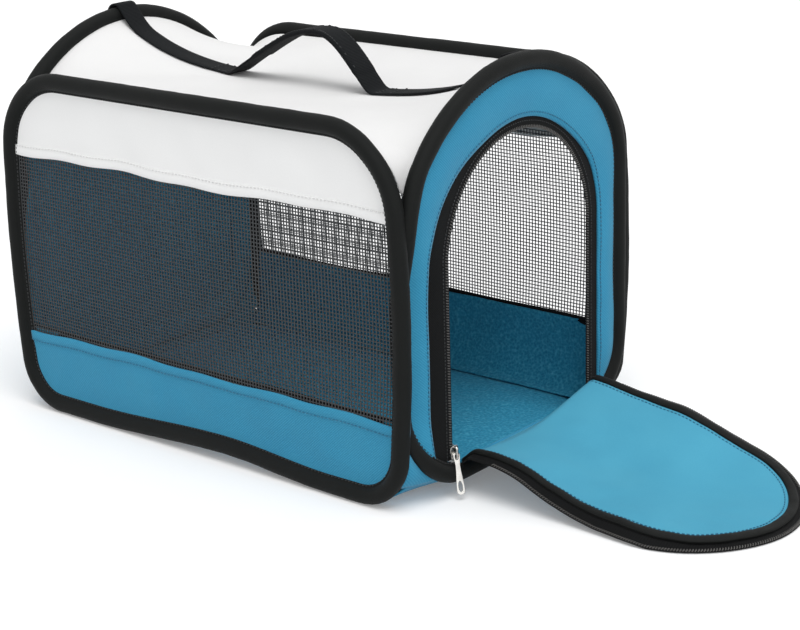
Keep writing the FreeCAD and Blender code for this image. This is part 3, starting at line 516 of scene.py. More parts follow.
def arch_line(half, spring, top, shoulder, inset=0.0):
    """The arch from its right spring to its left one, moved inwards by an inset."""
    radius, meet = crown_of(half, top - spring, shoulder)
    right_arc = arc(half - shoulder, spring, shoulder - inset, 0, meet)
    crown = arc(0, top - radius, radius - inset, meet, 180 - meet, 40)
    left_arc = arc(shoulder - half, spring, shoulder - inset, 180 - meet, 180)
    return np.vstack([right_arc, crown[1:-1], left_arc])


def end_outline(inset=0.0, count=240):
    corner = END_CORNER_RADIUS
    first = arc(END_HALF - corner, END_LOW + corner, corner - inset, -90, 0)
    last = arc(corner - END_HALF, END_LOW + corner, corner - inset, 180, 270)
    arch = arch_line(END_HALF, END_SPRING, END_TOP, SHOULDER_RADIUS, inset)
    return even(np.vstack([first, arch, last]), count, closed=True)


def rounded_box(half, low, high, low_radius, high_radius, count, inset=0.0):
    """A closed box with round corners, moved inwards by an inset."""
    bottom, top = (low + low_radius, low_radius), (high - high_radius, high_radius)
    corners = []
    for way, (height, radius), turn in ((1, bottom, -90), (1, top, 0), (-1, top, 90),
                                        (-1, bottom, 180)):
        corners.append(arc(way * (half - radius), height, radius - inset, turn, turn + 90))
    return even(np.vstack(corners), count, closed=True)


SIDE_OUTLINE = rounded_box(SIDE_HALF, SIDE_LOW, SIDE_HIGH, SIDE_BOTTOM_RADIUS, SIDE_TOP_RADIUS, 240)
print("side hoop", round(length_of(SIDE_OUTLINE), 3), "m round, end hoop",
      round(length_of(end_outline()), 3))

# %% How the hoops bend
BOW = {-1: (0.0068, 0.0055), 1: (0.0065, 0.004)}  # front and rear legs of the two side hoops
BELLY = 0.0028  # how far the middle of a side bulges
KINK_RISE, KINK_PLACE, KINK_FRONT, KINK_REAR = 0.0065, -0.027, 0.11, 0.15
LEG_BOW = 0.012


def kink_rise(along):
    """How far the bottom run of a side hoop is lifted."""
    reach = np.where(along > KINK_PLACE, KINK_REAR, KINK_FRONT)
    return KINK_RISE * ease(np.abs(along - KINK_PLACE) / reach, 1, 0)


def slouch(points, sign):
    """Moves points of a side by the bow of its legs, the kink in its bottom run and the bulge."""
    x, y, z = np.moveaxis(points, -1, 0)
    middle = np.sin(math.pi * np.clip((z - 0.02) / 0.25, 0, 1))
    front, rear = BOW[sign]
    bow = rear * ease(y, 0.05, 0.2) - front * ease(-y, 0.05, 0.2)
    rise = kink_rise(y) * ease(z, 0.09, 0.01)
    belly = (np.cos(np.clip(y / SIDE_HALF, -1, 1) * math.pi / 2)
             * np.sin(math.pi * np.clip(z / SIDE_HIGH, 0, 1)))
    return np.stack([x + sign * BELLY * belly, y + middle * bow, z + rise], -1)


def draw_back(points):
    """Moves points of the front with its left leg, which is drawn back behind the side hoop."""
    x, y, z = np.moveaxis(points, -1, 0)
    bow = LEG_BOW * ease(-x, 0.094, 0.126) * ease(z, 0.014, 0.070) * ease(z, 0.238, 0.150)
    return np.stack([x, y + bow * (y < 0), z], -1)


def on_side(outline, sign, depth=0.0):
    """Points of a side from their places along the carrier and upwards."""
    along, height = np.moveaxis(np.asarray(outline), -1, 0)
    return np.stack([np.full(along.shape, sign * (SIDE_PLANE + depth)), along, height], -1)


def on_end(outline, sign, depth=0.0):
    """Points of an end from their places across the carrier and upwards."""
    across, height = np.moveaxis(np.asarray(outline), -1, 0)
    return np.stack([across, np.full(across.shape, sign * (END_PLANE + depth)), height], -1)


hoops = {}  # for each the line of its wire, the normal of its plane and the side that it is on
for sign, side in SIDES:
    path = slouch(on_side(SIDE_OUTLINE, sign), sign)
    hoops[f"{side}_side"] = path, np.array((1.0, 0, 0)), sign
for sign, end in ENDS:
    hoops[f"{end}_hoop"] = draw_back(on_end(end_outline(), sign)), np.array((0, 1.0, 0)), sign
print("lines of", len(hoops), "hoops")

# %% [markdown]
# ## Sleeves
# A strip of black cloth is folded round each wire and sewn down beside it, so its cross-section
# is a drop: round over the wire, with a thin fin where the two layers meet the panel. A bevelled
# curve would be round all over, so the drop is carried along the hoop as rows of points, with
# small lumps in its radius. The cloth flattens where it rests on the ground.

# %% Sleeve shapes
FIN = [(-0.0070, 0.0012), (-0.0086, 0.0008), (-0.0090, 0.0), (-0.0086, -0.0008),
       (-0.0070, -0.0012)]
FIN_SEAM, FIN_FACE = 0.0080, 0.0011  # the seam's distance from the wire, and off the fin's middle
GROUND_GAP = 0.0002


def sleeve_places(path, normal, seed):
    """Rows of points round a closed path in a plane, and the path's directions outwards."""
    tangent = unit(np.roll(path, -1, 0) - np.roll(path, 1, 0))
    outward = np.cross(tangent, normal)
    if ((path - path.mean(0)) * outward).sum() < 0:
        outward = -outward
    turn = np.radians(np.linspace(-150, 150, 19))
    drop = np.vstack([np.stack([np.cos(turn), np.sin(turn)], 1) * SLEEVE_RADIUS, FIN])
    rows = path[:, None] + drop[:, :1] * outward[:, None] + drop[:, 1:] * normal
    lumps = uneven(rows, 0.022, seed) * 0.00035 + uneven(rows, 0.006, seed + 3) * 0.00016
    lumps[:, len(turn):] = 0  # the fin stays flat
    rows = rows + unit(rows - path[:, None]) * lumps[..., None]
    rows[..., 2] = np.maximum(rows[..., 2], GROUND_GAP)
    return rows, outward


sleeve_seams = []
for seed, (hoop, (path, normal, sign)) in zip((1, 3, 5, 7), hoops.items()):
    rows, outward = sleeve_places(path, normal, seed)
    sew(f"{hoop.split('_')[0]}_sewn_sleeve", [lattice(rows, ring=True, loop=True)], [black_cloth],
        "black_sleeve", f"{hoop}_sleeve", closed=True)
    seam = path - outward * FIN_SEAM
    sleeve_seams.append((np.vstack([seam, seam[:1]]), sign * normal))
print("four sleeves round the wires")

# %% [markdown]
# The wires lie inside the sleeves, and a crimped tube joins the two ends of each, low down. They
# bend as the sleeves do, so they are drawn along the same lines. Each wire closes on itself and
# each tube is a short piece of the same line.

# %% Wires and their tubes
WIRE_RADIUS, TUBE_RADIUS, TUBE_HALF = 0.0012, 0.0018, 0.013
LOW_RUN = 0.012  # height of the part of a hoop where its tube is


def along_hoop(path, normal, radius):
    """A round bar along a path in a plane."""
    aside = unit(np.cross(np.gradient(path, axis=0), normal))
    turn = 2 * math.pi * np.arange(10)[:, None] / 10
    return path[:, None] + radius * (np.cos(turn) * aside[:, None] + np.sin(turn) * normal)


tubes = []
for hoop, (path, normal, _) in hoops.items():
    wire = along_hoop(path, normal, WIRE_RADIUS)
    sew(f"{hoop}_spring", [lattice(wire, ring=True, loop=True)], [drawn_steel], "spring_steel",
        f"{hoop}_wire", closed=True)
    seat, axis = (KINK_PLACE, 1) if "side" in hoop else (0.0, 0)
    low = path[path[:, 2] < path[:, 2].min() + LOW_RUN]
    low = low[np.argsort(low[:, axis])]
    places = np.linspace(seat - TUBE_HALF, seat + TUBE_HALF, 12)
    piece = np.stack([np.interp(places, low[:, axis], column) for column in low.T], 1)
    tubes.append(capped(along_hoop(piece, normal, TUBE_RADIUS)))
sew("crimped_tubes", tubes, [nickel], "ferrule_metal", "wire_ferrules", closed=True)
print("four wires and their tubes")

# %% [markdown]
# ## Stitches
# Thread is what makes cloth look sewn. A dotted line in a material would stay flat in a close
# view, so every stitch is a small rounded bar that lies along its seam. All the stitches of a row
# are one mesh.

# %% Rows of stitches
BAR_RINGS = ((-1.0, 0.4), (-0.7, 1.0), (0.7, 1.0), (1.0, 0.4))  # place along it, and thickness


def stitch_row(line, facing, length=0.0022, pitch=0.0034, thickness=0.0007):
    """Stitches along a line on a surface that faces one way, or its own way at each point."""
    count = max(2, int(length_of(line) / pitch))
    middle, normal = spaced(line, facing, count)
    tangent = unit(np.gradient(middle, axis=0))
    aside = unit(np.cross(tangent, normal))
    bars = []
    for (along, wide), turn in product(BAR_RINGS, np.radians((45, 135, 225, 315))):
        slant = aside * math.cos(turn) + normal * math.sin(turn)
        bars.append(middle + tangent * (along * length / 2) + slant * (0.7 * wide * thickness))
    points = np.stack(bars, 1)
    bar_faces = np.array(capped(points[0].reshape(4, 4, 3))[1])
    faces = (bar_faces + len(bars) * np.arange(count)[:, None, None]).reshape(-1, 4)
    flat = points.reshape(-1, 3)
    return flat, faces.tolist(), flat[faces.ravel()][:, :2]


seams = [stitch_row(line + face * FIN_FACE, face)
         for line, facing in sleeve_seams for face in (facing, -facing)]
sew("sleeve_stitches", seams, [dark_thread], "black_sleeve")
print("stitches beside the sleeves")

# %% [markdown]
# ## Side bands
# Each side has a white band above the window and a blue band below it. Both fill the corners of
# the hoop, so each column of their grid ends where the hoop's inner edge is. The free edge is
# folded double, and the extra rows there give the fold its thickness. The blue band has plush on
# its inner face.

# %% Band shapes
WINDOW_LOW, WINDOW_HIGH = 0.068, 0.222
TUCK = 0.0056  # how far inside the wire a panel starts, under the sleeve's fin
SIDE_REACH = SIDE_HALF - TUCK
HEM = 0.008  # width of the fold at a free edge
HEM_FOLD = [(0.0003, -0.0007), (0.0, -0.0002), (0.0001, 0.0005), (0.0006, 0.0008),
            (HEM - 0.0004, 0.0007), (HEM, 0.0003), (HEM + 0.0005, 0.0)]  # from the edge, outwards
HEM_STITCH = (0.0024, 0.0036)  # length and pitch


def hoop_half_length(height):
    """How far a side panel reaches along the carrier at a height."""
    low, high = SIDE_BOTTOM_RADIUS, SIDE_TOP_RADIUS
    drop = np.maximum(0, SIDE_LOW + low - height)
    rise = np.maximum(0, height - (SIDE_HIGH - high))
    cuts = [radius - TUCK - np.sqrt(np.maximum((radius - TUCK) ** 2 - step ** 2, 0))
            for radius, step in ((low, drop), (high, rise))]
    return SIDE_REACH - np.maximum(*cuts)


def make_band(sign, side, colour, edge, far, materials, thread, node):
    """A band from its free edge to the far one, which is sewn to the hoop, with a stitched hem."""
    way = 1 if far > edge else -1
    rest = [(step, 0.0) for step in np.linspace(HEM + 0.003, abs(far - edge), 26)]
    steps, stand = np.array(HEM_FOLD + rest).T[..., None]
    heights = edge + way * steps
    half = hoop_half_length(np.clip(heights, SIDE_LOW + TUCK, SIDE_HIGH - TUCK))
    along = half * np.linspace(-1, 1, 110)
    wave = 0.0011 * np.sin(along * 31 + sign) + 0.0007 * np.sin(along * 83 + 2)
    places = np.stack([along, heights + wave * np.exp(-np.abs(heights - edge) / 0.03)], -1)
    rows = on_side(places, sign)
    ripple = uneven(rows, 0.045, 3) * 0.0013 + uneven(rows, 0.016, 5) * 0.0004
    rows[..., 0] += sign * (stand + ripple * ease(np.abs(heights - far), 0.0, 0.02))
    rows = slouch(rows, sign)
    if sign != way:
        rows, places = rows[:, ::-1], places[:, ::-1]
    band = sew(f"{side}_{colour}_band", [lattice(rows, cloth_map=places)], materials,
               f"{colour}_fabric", f"{side}_{node}", thickness=0.0009)
    facing = np.array((sign, 0.0, 0.0))
    hem = rows[4] * 0.5 + rows[5] * 0.5 + facing * 0.0008
    sew(f"{side}_{colour}_hem_stitches", [stitch_row(hem, facing, *HEM_STITCH)], [thread],
        f"{colour}_fabric")
    return band


for sign, side in SIDES:
    upper = make_band(sign, side, "white", WINDOW_HIGH, SIDE_HIGH - TUCK,
                      [white_cloth, white_lining], white_thread, "top_band")
    lower = make_band(sign, side, "blue", WINDOW_LOW, SIDE_LOW + TUCK,
                      [blue_twill, blue_plush], blue_thread, "bottom_band")
print("white and blue bands with folded edges")

# %% [markdown]
# ## Net windows
# The windows are knitted net with holes of about two millimetres. A pattern of transparency would
# be lighter, but it has no thickness and no shadow. Here every thread is real: upright threads
# and level ones at a pitch of three millimetres, each a small flat bar that follows the bulge of
# the side.

# %% Knit the nets
NET_PITCH, NET_LAP = 0.003, 0.004  # the net reaches a little way under both bands
NET_WIDE, NET_THICK = 0.00072, 0.00055
NET_LOW, NET_HIGH = WINDOW_LOW - NET_LAP, WINDOW_HIGH + NET_LAP
UPRIGHT_DEPTH, LEVEL_DEPTH = -0.0004, -0.0008


def thread_bar(places, sign, depth, aside):
    """A flat bar along places on a side."""
    path = slouch(on_side(places, sign, depth), sign)
    wide, thick = np.array(aside) * NET_WIDE, np.array((sign, 0.0, 0.0)) * NET_THICK
    corners = [(-0.5, -0.5), (0.5, -0.5), (0.5, 0.5), (-0.5, 0.5)]
    return capped(np.stack([path + wide * c + thick * d for c, d in corners], 1))


for sign, side in SIDES:
    threads = []
    for along in np.arange(-SIDE_REACH, SIDE_REACH + NET_PITCH / 2, NET_PITCH):
        places = np.column_stack([np.full(18, along), np.linspace(NET_LOW, NET_HIGH, 18)])
        threads.append(thread_bar(places, sign, UPRIGHT_DEPTH, (0, 1.0, 0)))
    for height in np.arange(NET_LOW, NET_HIGH + NET_PITCH / 2, NET_PITCH):
        places = np.column_stack([np.linspace(-SIDE_REACH, SIDE_REACH, 60), np.full(60, height)])
        threads.append(thread_bar(places, sign, LEVEL_DEPTH, (0, 0, 1.0)))
    sew(f"{side}_knitted_net", threads, [net_thread], "black_net",
                     f"{side}_mesh_window", smooth=False)
    print(side, "net of", len(threads), "threads")

# %% [markdown]
# Inside, a black tape covers the lower seam of each window. Through the door it shows as a dark
# line along the far side.

# %% Seam tapes
SEAM_TAPE_HALF, SEAM_TAPE_DEPTH = 0.0045, 0.0028

for sign, side in SIDES:
    along = np.linspace(-SIDE_REACH, SIDE_REACH, 90)
    rows = []
    for step in np.linspace(-SEAM_TAPE_HALF, SEAM_TAPE_HALF, 5):
        line = np.stack([along, WINDOW_LOW + step + 0.0006 * np.sin(along * 40 + sign)], 1)
        depth = SEAM_TAPE_DEPTH + 0.0003 * math.cos(step * 300)
        rows.append(slouch(on_side(line, sign, -depth), sign))
    sew(f"{side}_seam_tape", [lattice(np.array(rows))], [black_tape], "black_tape",
        f"{side}_window_tape", thickness=0.0006)
print("two seam tapes")

# %% [markdown]
# Below the tape, plush lines the inside and turns in over the sleeve to meet the mat, so no wire
# or sleeve shows on the floor. It is a strip with a soft bend in its section.

# %% Plush linings
LINING = even([(0.1383, 0.0700), (0.1378, 0.0560), (0.1362, 0.0420), (0.1330, 0.0290),
               (0.1292, 0.0200), (0.1250, 0.0140), (0.1200, 0.0105), (0.1140, 0.0092)], 22)

for sign, side in SIDES:
    rows = []
    for across, height in LINING:
        half = min(SIDE_REACH, 0.190 + height * 0.2)
        along = np.linspace(-half, half, 90)
        rows.append(np.column_stack([np.full(90, sign * across), along, np.full(90, height)]))
    rows = np.array(rows)
    rows[..., 0] -= sign * 0.0012 * uneven(rows, 0.03, 15)
    lifted = 0.5 * ease(rows[..., 2], 0.010, 0.020) * (rows[..., 2] < 0.05)
    rows[..., 2] += kink_rise(rows[..., 1]) * lifted
    sew(f"{side}_plush_lining", [lattice(rows)], [blue_plush], "blue_plush",
                        thickness=0.0009)
print("two plush linings")

# %% [markdown]
# ## Roof
# The roof is one white sheet. It is an arch where it meets each end hoop and a shallow trough
# half-way along, where the strap pulls it down. Each cross-section is a mix of those two shapes.
# A cloth simulation could find the same form, but the hoops set nearly all of it, so the rows are
# worked out and small tension folds are added that run from the shoulders towards the trough.

# %% The roof's form
ROOF_MIDDLE, ROOF_REACH = END_TOP - 0.040, END_PLANE - 0.0050
ROOF_LIFT, ROOF_EDGE_LIFT = -0.0042, -0.0030  # it is sewn low on its sleeves, which stand proud
ROOF_HALF = SIDE_PLANE - 0.0055
ROOF_SAG_POWER = 3.6


def edge_height(along, corner, hoop_level, way, offset):
    """Height of a sheet's edge beside a side hoop, which turns down or up with its corner."""
    run = np.clip(np.abs(along) - (SIDE_HALF - corner), 0, 0.98 * (corner + offset))
    return hoop_level - way * corner + way * np.sqrt((corner + offset) ** 2 - run ** 2)


def roof_edge(along):
    return edge_height(along, SIDE_TOP_RADIUS, SIDE_HIGH, 1, ROOF_EDGE_LIFT)


def arch_place(angle, offset):
    """A point outside the end hoop's arch by the angle of its normal."""
    crown, meet = crown_of(END_HALF, END_TOP - END_SPRING, SHOULDER_RADIUS)
    over = angle > meet
    across = np.where(over, 0, END_HALF - SHOULDER_RADIUS)
    height = np.where(over, END_TOP - crown, END_SPRING)
    reach = np.where(over, crown, SHOULDER_RADIUS) + offset
    return across + reach * np.cos(np.radians(angle)), height + reach * np.sin(np.radians(angle))


def roof_places(along, part):
    """Points of the roof by place along the carrier and share of the way from ridge to edge."""
    share = (np.abs(along) / ROOF_REACH) ** ROOF_SAG_POWER
    end_up = roof_edge(ROOF_REACH)
    lean = math.degrees(math.asin((end_up - END_SPRING) / (SHOULDER_RADIUS + ROOF_LIFT)))
    turn = np.abs(part) * (90 - lean)
    arch_across, arch_up = arch_place(90 - turn, ROOF_LIFT)
    spread = np.sin(np.radians(turn)) / math.sin(math.radians(90 - lean))
    edge_level = SIDE_HIGH + ROOF_EDGE_LIFT
    flat_up = ROOF_MIDDLE + (edge_level - ROOF_MIDDLE) * spread ** 2
    across = share * arch_across + (1 - share) * ROOF_HALF * spread
    height = share * arch_up + (1 - share) * flat_up
    turned = roof_edge(along) - share * end_up - (1 - share) * edge_level
    return np.stack([np.sign(part) * across, np.broadcast_to(along, height.shape),
                     height + turned * np.abs(part) ** 6], -1)


along, part = np.meshgrid(ROOF_REACH * np.sin(np.radians(np.linspace(-90, 90, 121))),
                          np.linspace(-1, 1, 97), indexing="ij")
roof = roof_places(along, part)
held = (1 - np.abs(part) ** 4) * (1 - (np.abs(along) / ROOF_REACH) ** 6)
folds = 0.0011 * np.sin(roof[..., 0] * 70 + np.sign(along) * roof[..., 1] * 55 + 1.3)
folds = folds * ease(np.abs(along), 0.05, 0.13) + 0.0016 * uneven(roof, 0.05, 9)
beside_strap = ease(np.abs(roof[..., 0]), 0.010, 0.030)
roof[..., 2] += ((folds - 0.0006) * beside_strap - 0.0005 * (1 - beside_strap)) * held
roof_sheet = sew("white_roof", [lattice(roof, cloth_map=roof[..., :2])], [roof_white_painted_shade, white_lining],
                 "white_fabric", "roof_panel", thickness=0.0011)
print("roof up to", round(float(roof[..., 2].max()), 3), "m high")

# %% [markdown]
# ## Floor and mat
# The floor is a blue sheet that lies flat and turns up at its ends to meet the end hoops. At each
# corner two gussets close the gap between a side hoop and an end hoop. On the floor lies a thin
# plush mat. The mat is closed and slightly crowned, with soft lumps, because it is loose filling
# between two faces of cloth.

# %% The floor's form
FLOOR_FLAT, FLOOR_REACH = SIDE_HALF - SIDE_BOTTOM_RADIUS, END_PLANE - SHEET_SEAT
GUSSET_LOW, GUSSET_HIGH, GUSSET_LAP = 0.016, 0.080, 0.002
GUSSET_INSETS = (0.002, 0.0075)


def floor_edge(along):
    return edge_height(along, SIDE_BOTTOM_RADIUS, SIDE_LOW, -1, SHEET_SEAT)


def floor_places(along, part):
    """Points of the floor's lower face."""
    corner, centre = END_CORNER_RADIUS + SHEET_SEAT, END_LOW + END_CORNER_RADIUS
    run = np.maximum(np.abs(along) - FLOOR_FLAT, 0)
    share = (run / (FLOOR_REACH - FLOOR_FLAT)) ** 2
    edge_up = floor_edge(along) - (1 - share) * floor_edge(FLOOR_FLAT)
    end_up = floor_edge(FLOOR_REACH)
    size = np.abs(part)
    turn = np.maximum(0, size - 0.5) / 0.5 * math.acos((centre - end_up) / corner)
    end_across = (END_HALF - END_CORNER_RADIUS) * np.minimum(1, size / 0.5) + corner * np.sin(turn)
    across = share * end_across + (1 - share) * (SIDE_PLANE - SHEET_SEAT) * size
    height = share * (centre - corner * np.cos(turn)) + (edge_up - share * end_up) * size ** 6
    return np.stack([np.sign(part) * across, np.broadcast_to(along, height.shape),
                     np.maximum(0, height)], -1)


def corner_reach(heights, low, radius):
    """How far the bottom corner of a hoop has turned out at heights."""
    return np.sqrt(radius ** 2 - np.clip(low + radius - heights, 0, radius) ** 2)


def gusset(sign, end, inset):
    """The floor's corner, drawn up as far as the side hoop and the end hoop leave a gap."""
    heights = np.linspace(GUSSET_LOW, GUSSET_HIGH, 28)
    side_along = FLOOR_FLAT + corner_reach(heights, SIDE_LOW, SIDE_BOTTOM_RADIUS)
    end_across = END_HALF - END_CORNER_RADIUS + corner_reach(heights, END_LOW, END_CORNER_RADIUS)
    rows = []
    for share in np.linspace(0, 1, 9):
        bulge = 0.0035 * math.sin(math.pi * share) * ease(heights, 0.066, 0.040)
        across = (SIDE_PLANE - inset) * (1 - share) + (end_across + GUSSET_LAP) * share + bulge
        along = (side_along + GUSSET_LAP) * (1 - share) + (END_PLANE - inset) * share + bulge
        row = np.column_stack([sign * across, end * along, heights])
        row[:, 1] = slouch(row, sign)[:, 1] * (1 - share) + draw_back(row)[:, 1] * share
        rows.append(row if sign * end < 0 else row[::-1])
    return np.array(rows)


along = np.concatenate([np.linspace(-FLOOR_REACH, -FLOOR_FLAT, 15)[:-1],
                        np.linspace(-FLOOR_FLAT, FLOOR_FLAT, 50),
                        np.linspace(FLOOR_FLAT, FLOOR_REACH, 15)[1:]])
along, part = np.meshgrid(along, np.linspace(-1, 1, 61), indexing="ij")
floor = floor_places(along, part) + (0, 0, 0.0006)
floor[..., 2] += kink_rise(floor[..., 1]) * ease(np.abs(part), 0.8, 1.0)
floor[..., 0] += 0.0006 * np.sign(part) * ease(np.abs(part), 0.9, 1.0)
floor[..., 1] += 0.0007 * np.sign(along) * ease(np.abs(along), 0.19, FLOOR_REACH)
floor_parts = [lattice(floor[:, ::-1], cloth_map=floor[:, ::-1, :2])]
for sign, end, inset in product((-1, 1), (-1, 1), GUSSET_INSETS):
    corner = gusset(sign, end, inset)
    floor_parts.append(lattice(corner, cloth_map=corner[..., [0, 2]]))
floor_sheet = sew("blue_floor", floor_parts, [blue_twill, blue_plush], "blue_fabric", "floor_panel",
                  thickness=0.0012)
print("floor sheet with", len(floor_parts) - 1, "gussets")

# %% The mat's form
MAT_HALF, MAT_REACH, MAT_CORNER = 0.1260, 0.192, 0.040
MAT_LOW, MAT_HIGH, MAT_TURN_UP = 0.00135, 0.0074, 0.0101
MAT_RIM = ((0.004, 0.0), (0.0012, 0.0008), (0.0, 0.0026), (0.0010, 0.0042))  # inset, and height
HUB = 0.02  # size of the small faces that close the mat in its middle


def mat_outline(inset):
    return rounded_box(MAT_HALF, -MAT_REACH, MAT_REACH, MAT_CORNER, MAT_CORNER, 132, inset)


rings = [(mat_outline(0.0) * HUB, MAT_LOW)]
rings += [(mat_outline(inset), MAT_LOW + rise) for inset, rise in MAT_RIM]
rings += [(mat_outline(0.004), MAT_HIGH - 0.0008), (mat_outline(0.010), MAT_HIGH)]
rings += [(mat_outline(0.010) * share, MAT_HIGH) for share in np.linspace(0.94, HUB, 30)]
mat = np.array([np.column_stack([line, np.full(len(line), height)]) for line, height in rings])
lumps = uneven(mat, 0.035, 11) * 0.0016 + uneven(mat, 0.011, 12) * 0.0006
crown = np.append(np.zeros(6), ease(np.arange(31), 0, 8))
mat[..., 2] += crown[:, None] * (0.0012 + lumps)
turned_up = np.maximum(np.abs(mat[..., 1]) - FLOOR_FLAT, 0) / (FLOOR_REACH - FLOOR_FLAT)
mat[..., 2] += MAT_TURN_UP * turned_up ** 2
plush_mat = sew("plush_mat", [capped(mat)], [mat_plush_painted_light], "blue_plush", "floor_mat", closed=True)
print("mat", round(float(mat[..., 2].max() - MAT_LOW) * 1000, 1), "mm thick")

# %% [markdown]
# ## End panels
# The rear is one blue panel inside its hoop. The front is a blue border round the arched opening.
# Both are made as rings of points that step inwards from the hoop, and the front one stops at the
# zip. The border is a little fuller on the legs, where the cloth puffs forward between its two
# seams.

# %% The opening's outlines
HINGE_LEVEL = 0.0234
CHAIN_HALF = 0.08802  # half the distance between the legs of the zip
DOOR_REACH, DOOR_LEG, DOOR_SHOULDER = 0.2393, 0.15528, 0.06702
COIL_OFFSET, TAPE_OFFSET, BORDER_OFFSET = 0.0022, 0.0032, 0.0160
ZIP_SPRING, ZIP_TOP = HINGE_LEVEL + DOOR_LEG, HINGE_LEVEL + DOOR_REACH
FORWARD = np.array((0, -1.0, 0))


def zip_line(offset, low, count=200):
    """The zip's arched line, moved outwards by an offset, from the right foot to the left one."""
    arch = arch_line(CHAIN_HALF, ZIP_SPRING, ZIP_TOP, DOOR_SHOULDER, -offset)
    foot = CHAIN_HALF + offset
    return even(np.vstack([[(foot, low)], arch, [(-foot, low)]]), count)


def tape_edge(share, low):
    """A line on the tape from coil to border, wide on the left leg and narrow at the top."""
    inner, outer = zip_line(TAPE_OFFSET, low), zip_line(BORDER_OFFSET, low)
    wide = 1 + 0.32 * ease(-inner[:, 0], 0.03, 0.085) - 0.45 * ease(inner[:, 1], 0.20, 0.255)
    return inner + (outer - inner) * (share * wide)[:, None]


print("opening", round(2 * CHAIN_HALF, 3), "m wide")

# %% Rear panel
REAR_MIDDLE = np.array((0.0, 0.165))

edge = end_outline(TUCK) - REAR_MIDDLE
shares = np.linspace(1, 0.01, 36)
rear = np.array([on_end(REAR_MIDDLE + edge * share, 1) for share in shares])
rear[..., 1] += 0.0035 * (1 - shares[:, None] ** 2) + 0.0015 * uneven(rear, 0.05, 21)
rear = rear[:, ::-1]
rear_sheet = sew("rear_panel_cloth", [capped(rear, rear[..., [0, 2]], both=False)],
                 [blue_twill, blue_plush], "blue_fabric", "rear_panel", thickness=0.0009)
print("rear panel")

# %% [markdown]
# Inside, a strip of plush covers the rear sleeve, so the rear hoop doesn't show through the nets
# as a black arch. It lies over the sleeve and comes down to the panel beside it.

# %% Plush over the rear sleeve
COVER_OUTER, COVER_INNER, COVER_CREST = -0.0035, 0.0160, 0.0055
COVER_LOW, COVER_RISE = 0.0012, 0.0064  # height off the panel beside the sleeve, and more over it

outer_line, inner_line = end_outline(COVER_OUTER, 300), end_outline(COVER_INNER, 300)
first = 0.65 * ease(outer_line[:, 1:], 0.14, 0.23)  # under the arch it starts below the roof
cover = []
for step in np.linspace(0, 1, 9):
    share = first + (1 - first) * step
    inset = COVER_OUTER + (COVER_INNER - COVER_OUTER) * share
    row = on_end(outer_line + (inner_line - outer_line) * share, 1)
    row[:, 1:2] -= COVER_LOW + COVER_RISE * ease(inset, COVER_INNER, COVER_CREST)
    cover.append(row)
cover = np.array(cover)
cover_sheet = sew("rear_plush_cover", [lattice(cover, ring=True)], [blue_plush], "blue_plush",
                  thickness=0.0008)
print("plush over the rear sleeve,", round(length_of(cover[4]), 3), "m long")

# %% Front border
BORDER_PUFF, BORDER_TURN = 0.0022, 0.0016  # its inner edge turns in by a little


def nearest(line, place):
    return int(np.argmin(np.linalg.norm(line - place, axis=1)))


opening = tape_edge(1.0, END_LOW + TUCK + 0.0006)
outer_arch = end_outline(TUCK, 800)
outer_arch = np.roll(outer_arch, -nearest(outer_arch, opening[0]), 0)
outer_arch = even(outer_arch[:nearest(outer_arch, opening[-1]) + 1], len(opening))
steps = np.linspace(0, 1, 16)
border = np.array([on_end(outer_arch + (opening - outer_arch) * step, -1) for step in steps])
puff = BORDER_PUFF * np.sin(math.pi * steps)[:, None] + 0.0008 * uneven(border, 0.03, 25)
border[..., 1] -= puff * ease(border[..., 2], 0.02, 0.06)
border = draw_back(np.concatenate([border, on_end(opening, -1, -BORDER_TURN)[None]]))
front_sheet = sew("front_border", [lattice(border, cloth_map=border[..., [0, 2]])],
                  [blue_twill, blue_lining], "blue_fabric", "front_panel", thickness=0.0010)
inner_seam = border[14] * 0.8 + border[13] * 0.2 + FORWARD * 0.0009
sew("front_border_stitches", [stitch_row(inner_seam, FORWARD)], [blue_thread], "blue_fabric")
print("front border")

# %% [markdown]
# ## The zip round the opening
# A zip half is a woven tape with a coil of nylon sewn to its edge. The coil is a real helix here,
# since its teeth catch the light in a close view. The same helper serves the door's half.

# %% Tape and coil of the opening
TAPE_LAYER = 0.0011  # how far the tape lies behind the border
COIL_PITCH, COIL_STEPS = 0.0021, 8
COIL_WIDE, COIL_TALL, COIL_THREAD = 0.0011, 0.0009, 0.00045
STOP_LEVEL = 0.0275


def coil(line, facing):
    """A helix of nylon along a line."""
    turns = int(length_of(line) / COIL_PITCH)
    middle, normal = spaced(line, facing, turns * COIL_STEPS)
    aside = unit(np.cross(np.gradient(middle, axis=0), normal))
    turn = 2 * math.pi * np.arange(len(middle))[:, None] / COIL_STEPS
    spiral = middle + aside * (COIL_WIDE * np.cos(turn)) + normal * (COIL_TALL * np.sin(turn))
    return capped(round_thread(spiral, COIL_THREAD, normal))


tape_rows = []
for step in np.linspace(-0.16, 1, 9):
    line = on_end(tape_edge(step * 1.2, STOP_LEVEL), -1, -TAPE_LAYER - 0.0006 * step)
    tape_rows.append(draw_back(line))
sew("opening_tape", [lattice(np.array(tape_rows))], [black_tape], "zip_tape", "opening_zip_tape",
    thickness=0.0008)
chain = on_end(zip_line(COIL_OFFSET, STOP_LEVEL + 0.002, 400), -1, -TAPE_LAYER)
sew("opening_coil", [coil(chain, FORWARD)], [nylon], "zip_nylon", "opening_zip_coil")
rim = on_end(zip_line(TAPE_OFFSET + 0.0035, STOP_LEVEL + 0.001, 300), -1, -TAPE_LAYER + 0.0007)
sew("opening_tape_stitches", [stitch_row(rim, FORWARD, 0.0018, 0.0028, 0.0005)], [dark_thread],
    "zip_tape")
print("zip half round the opening,", round(length_of(chain), 3), "m of coil")
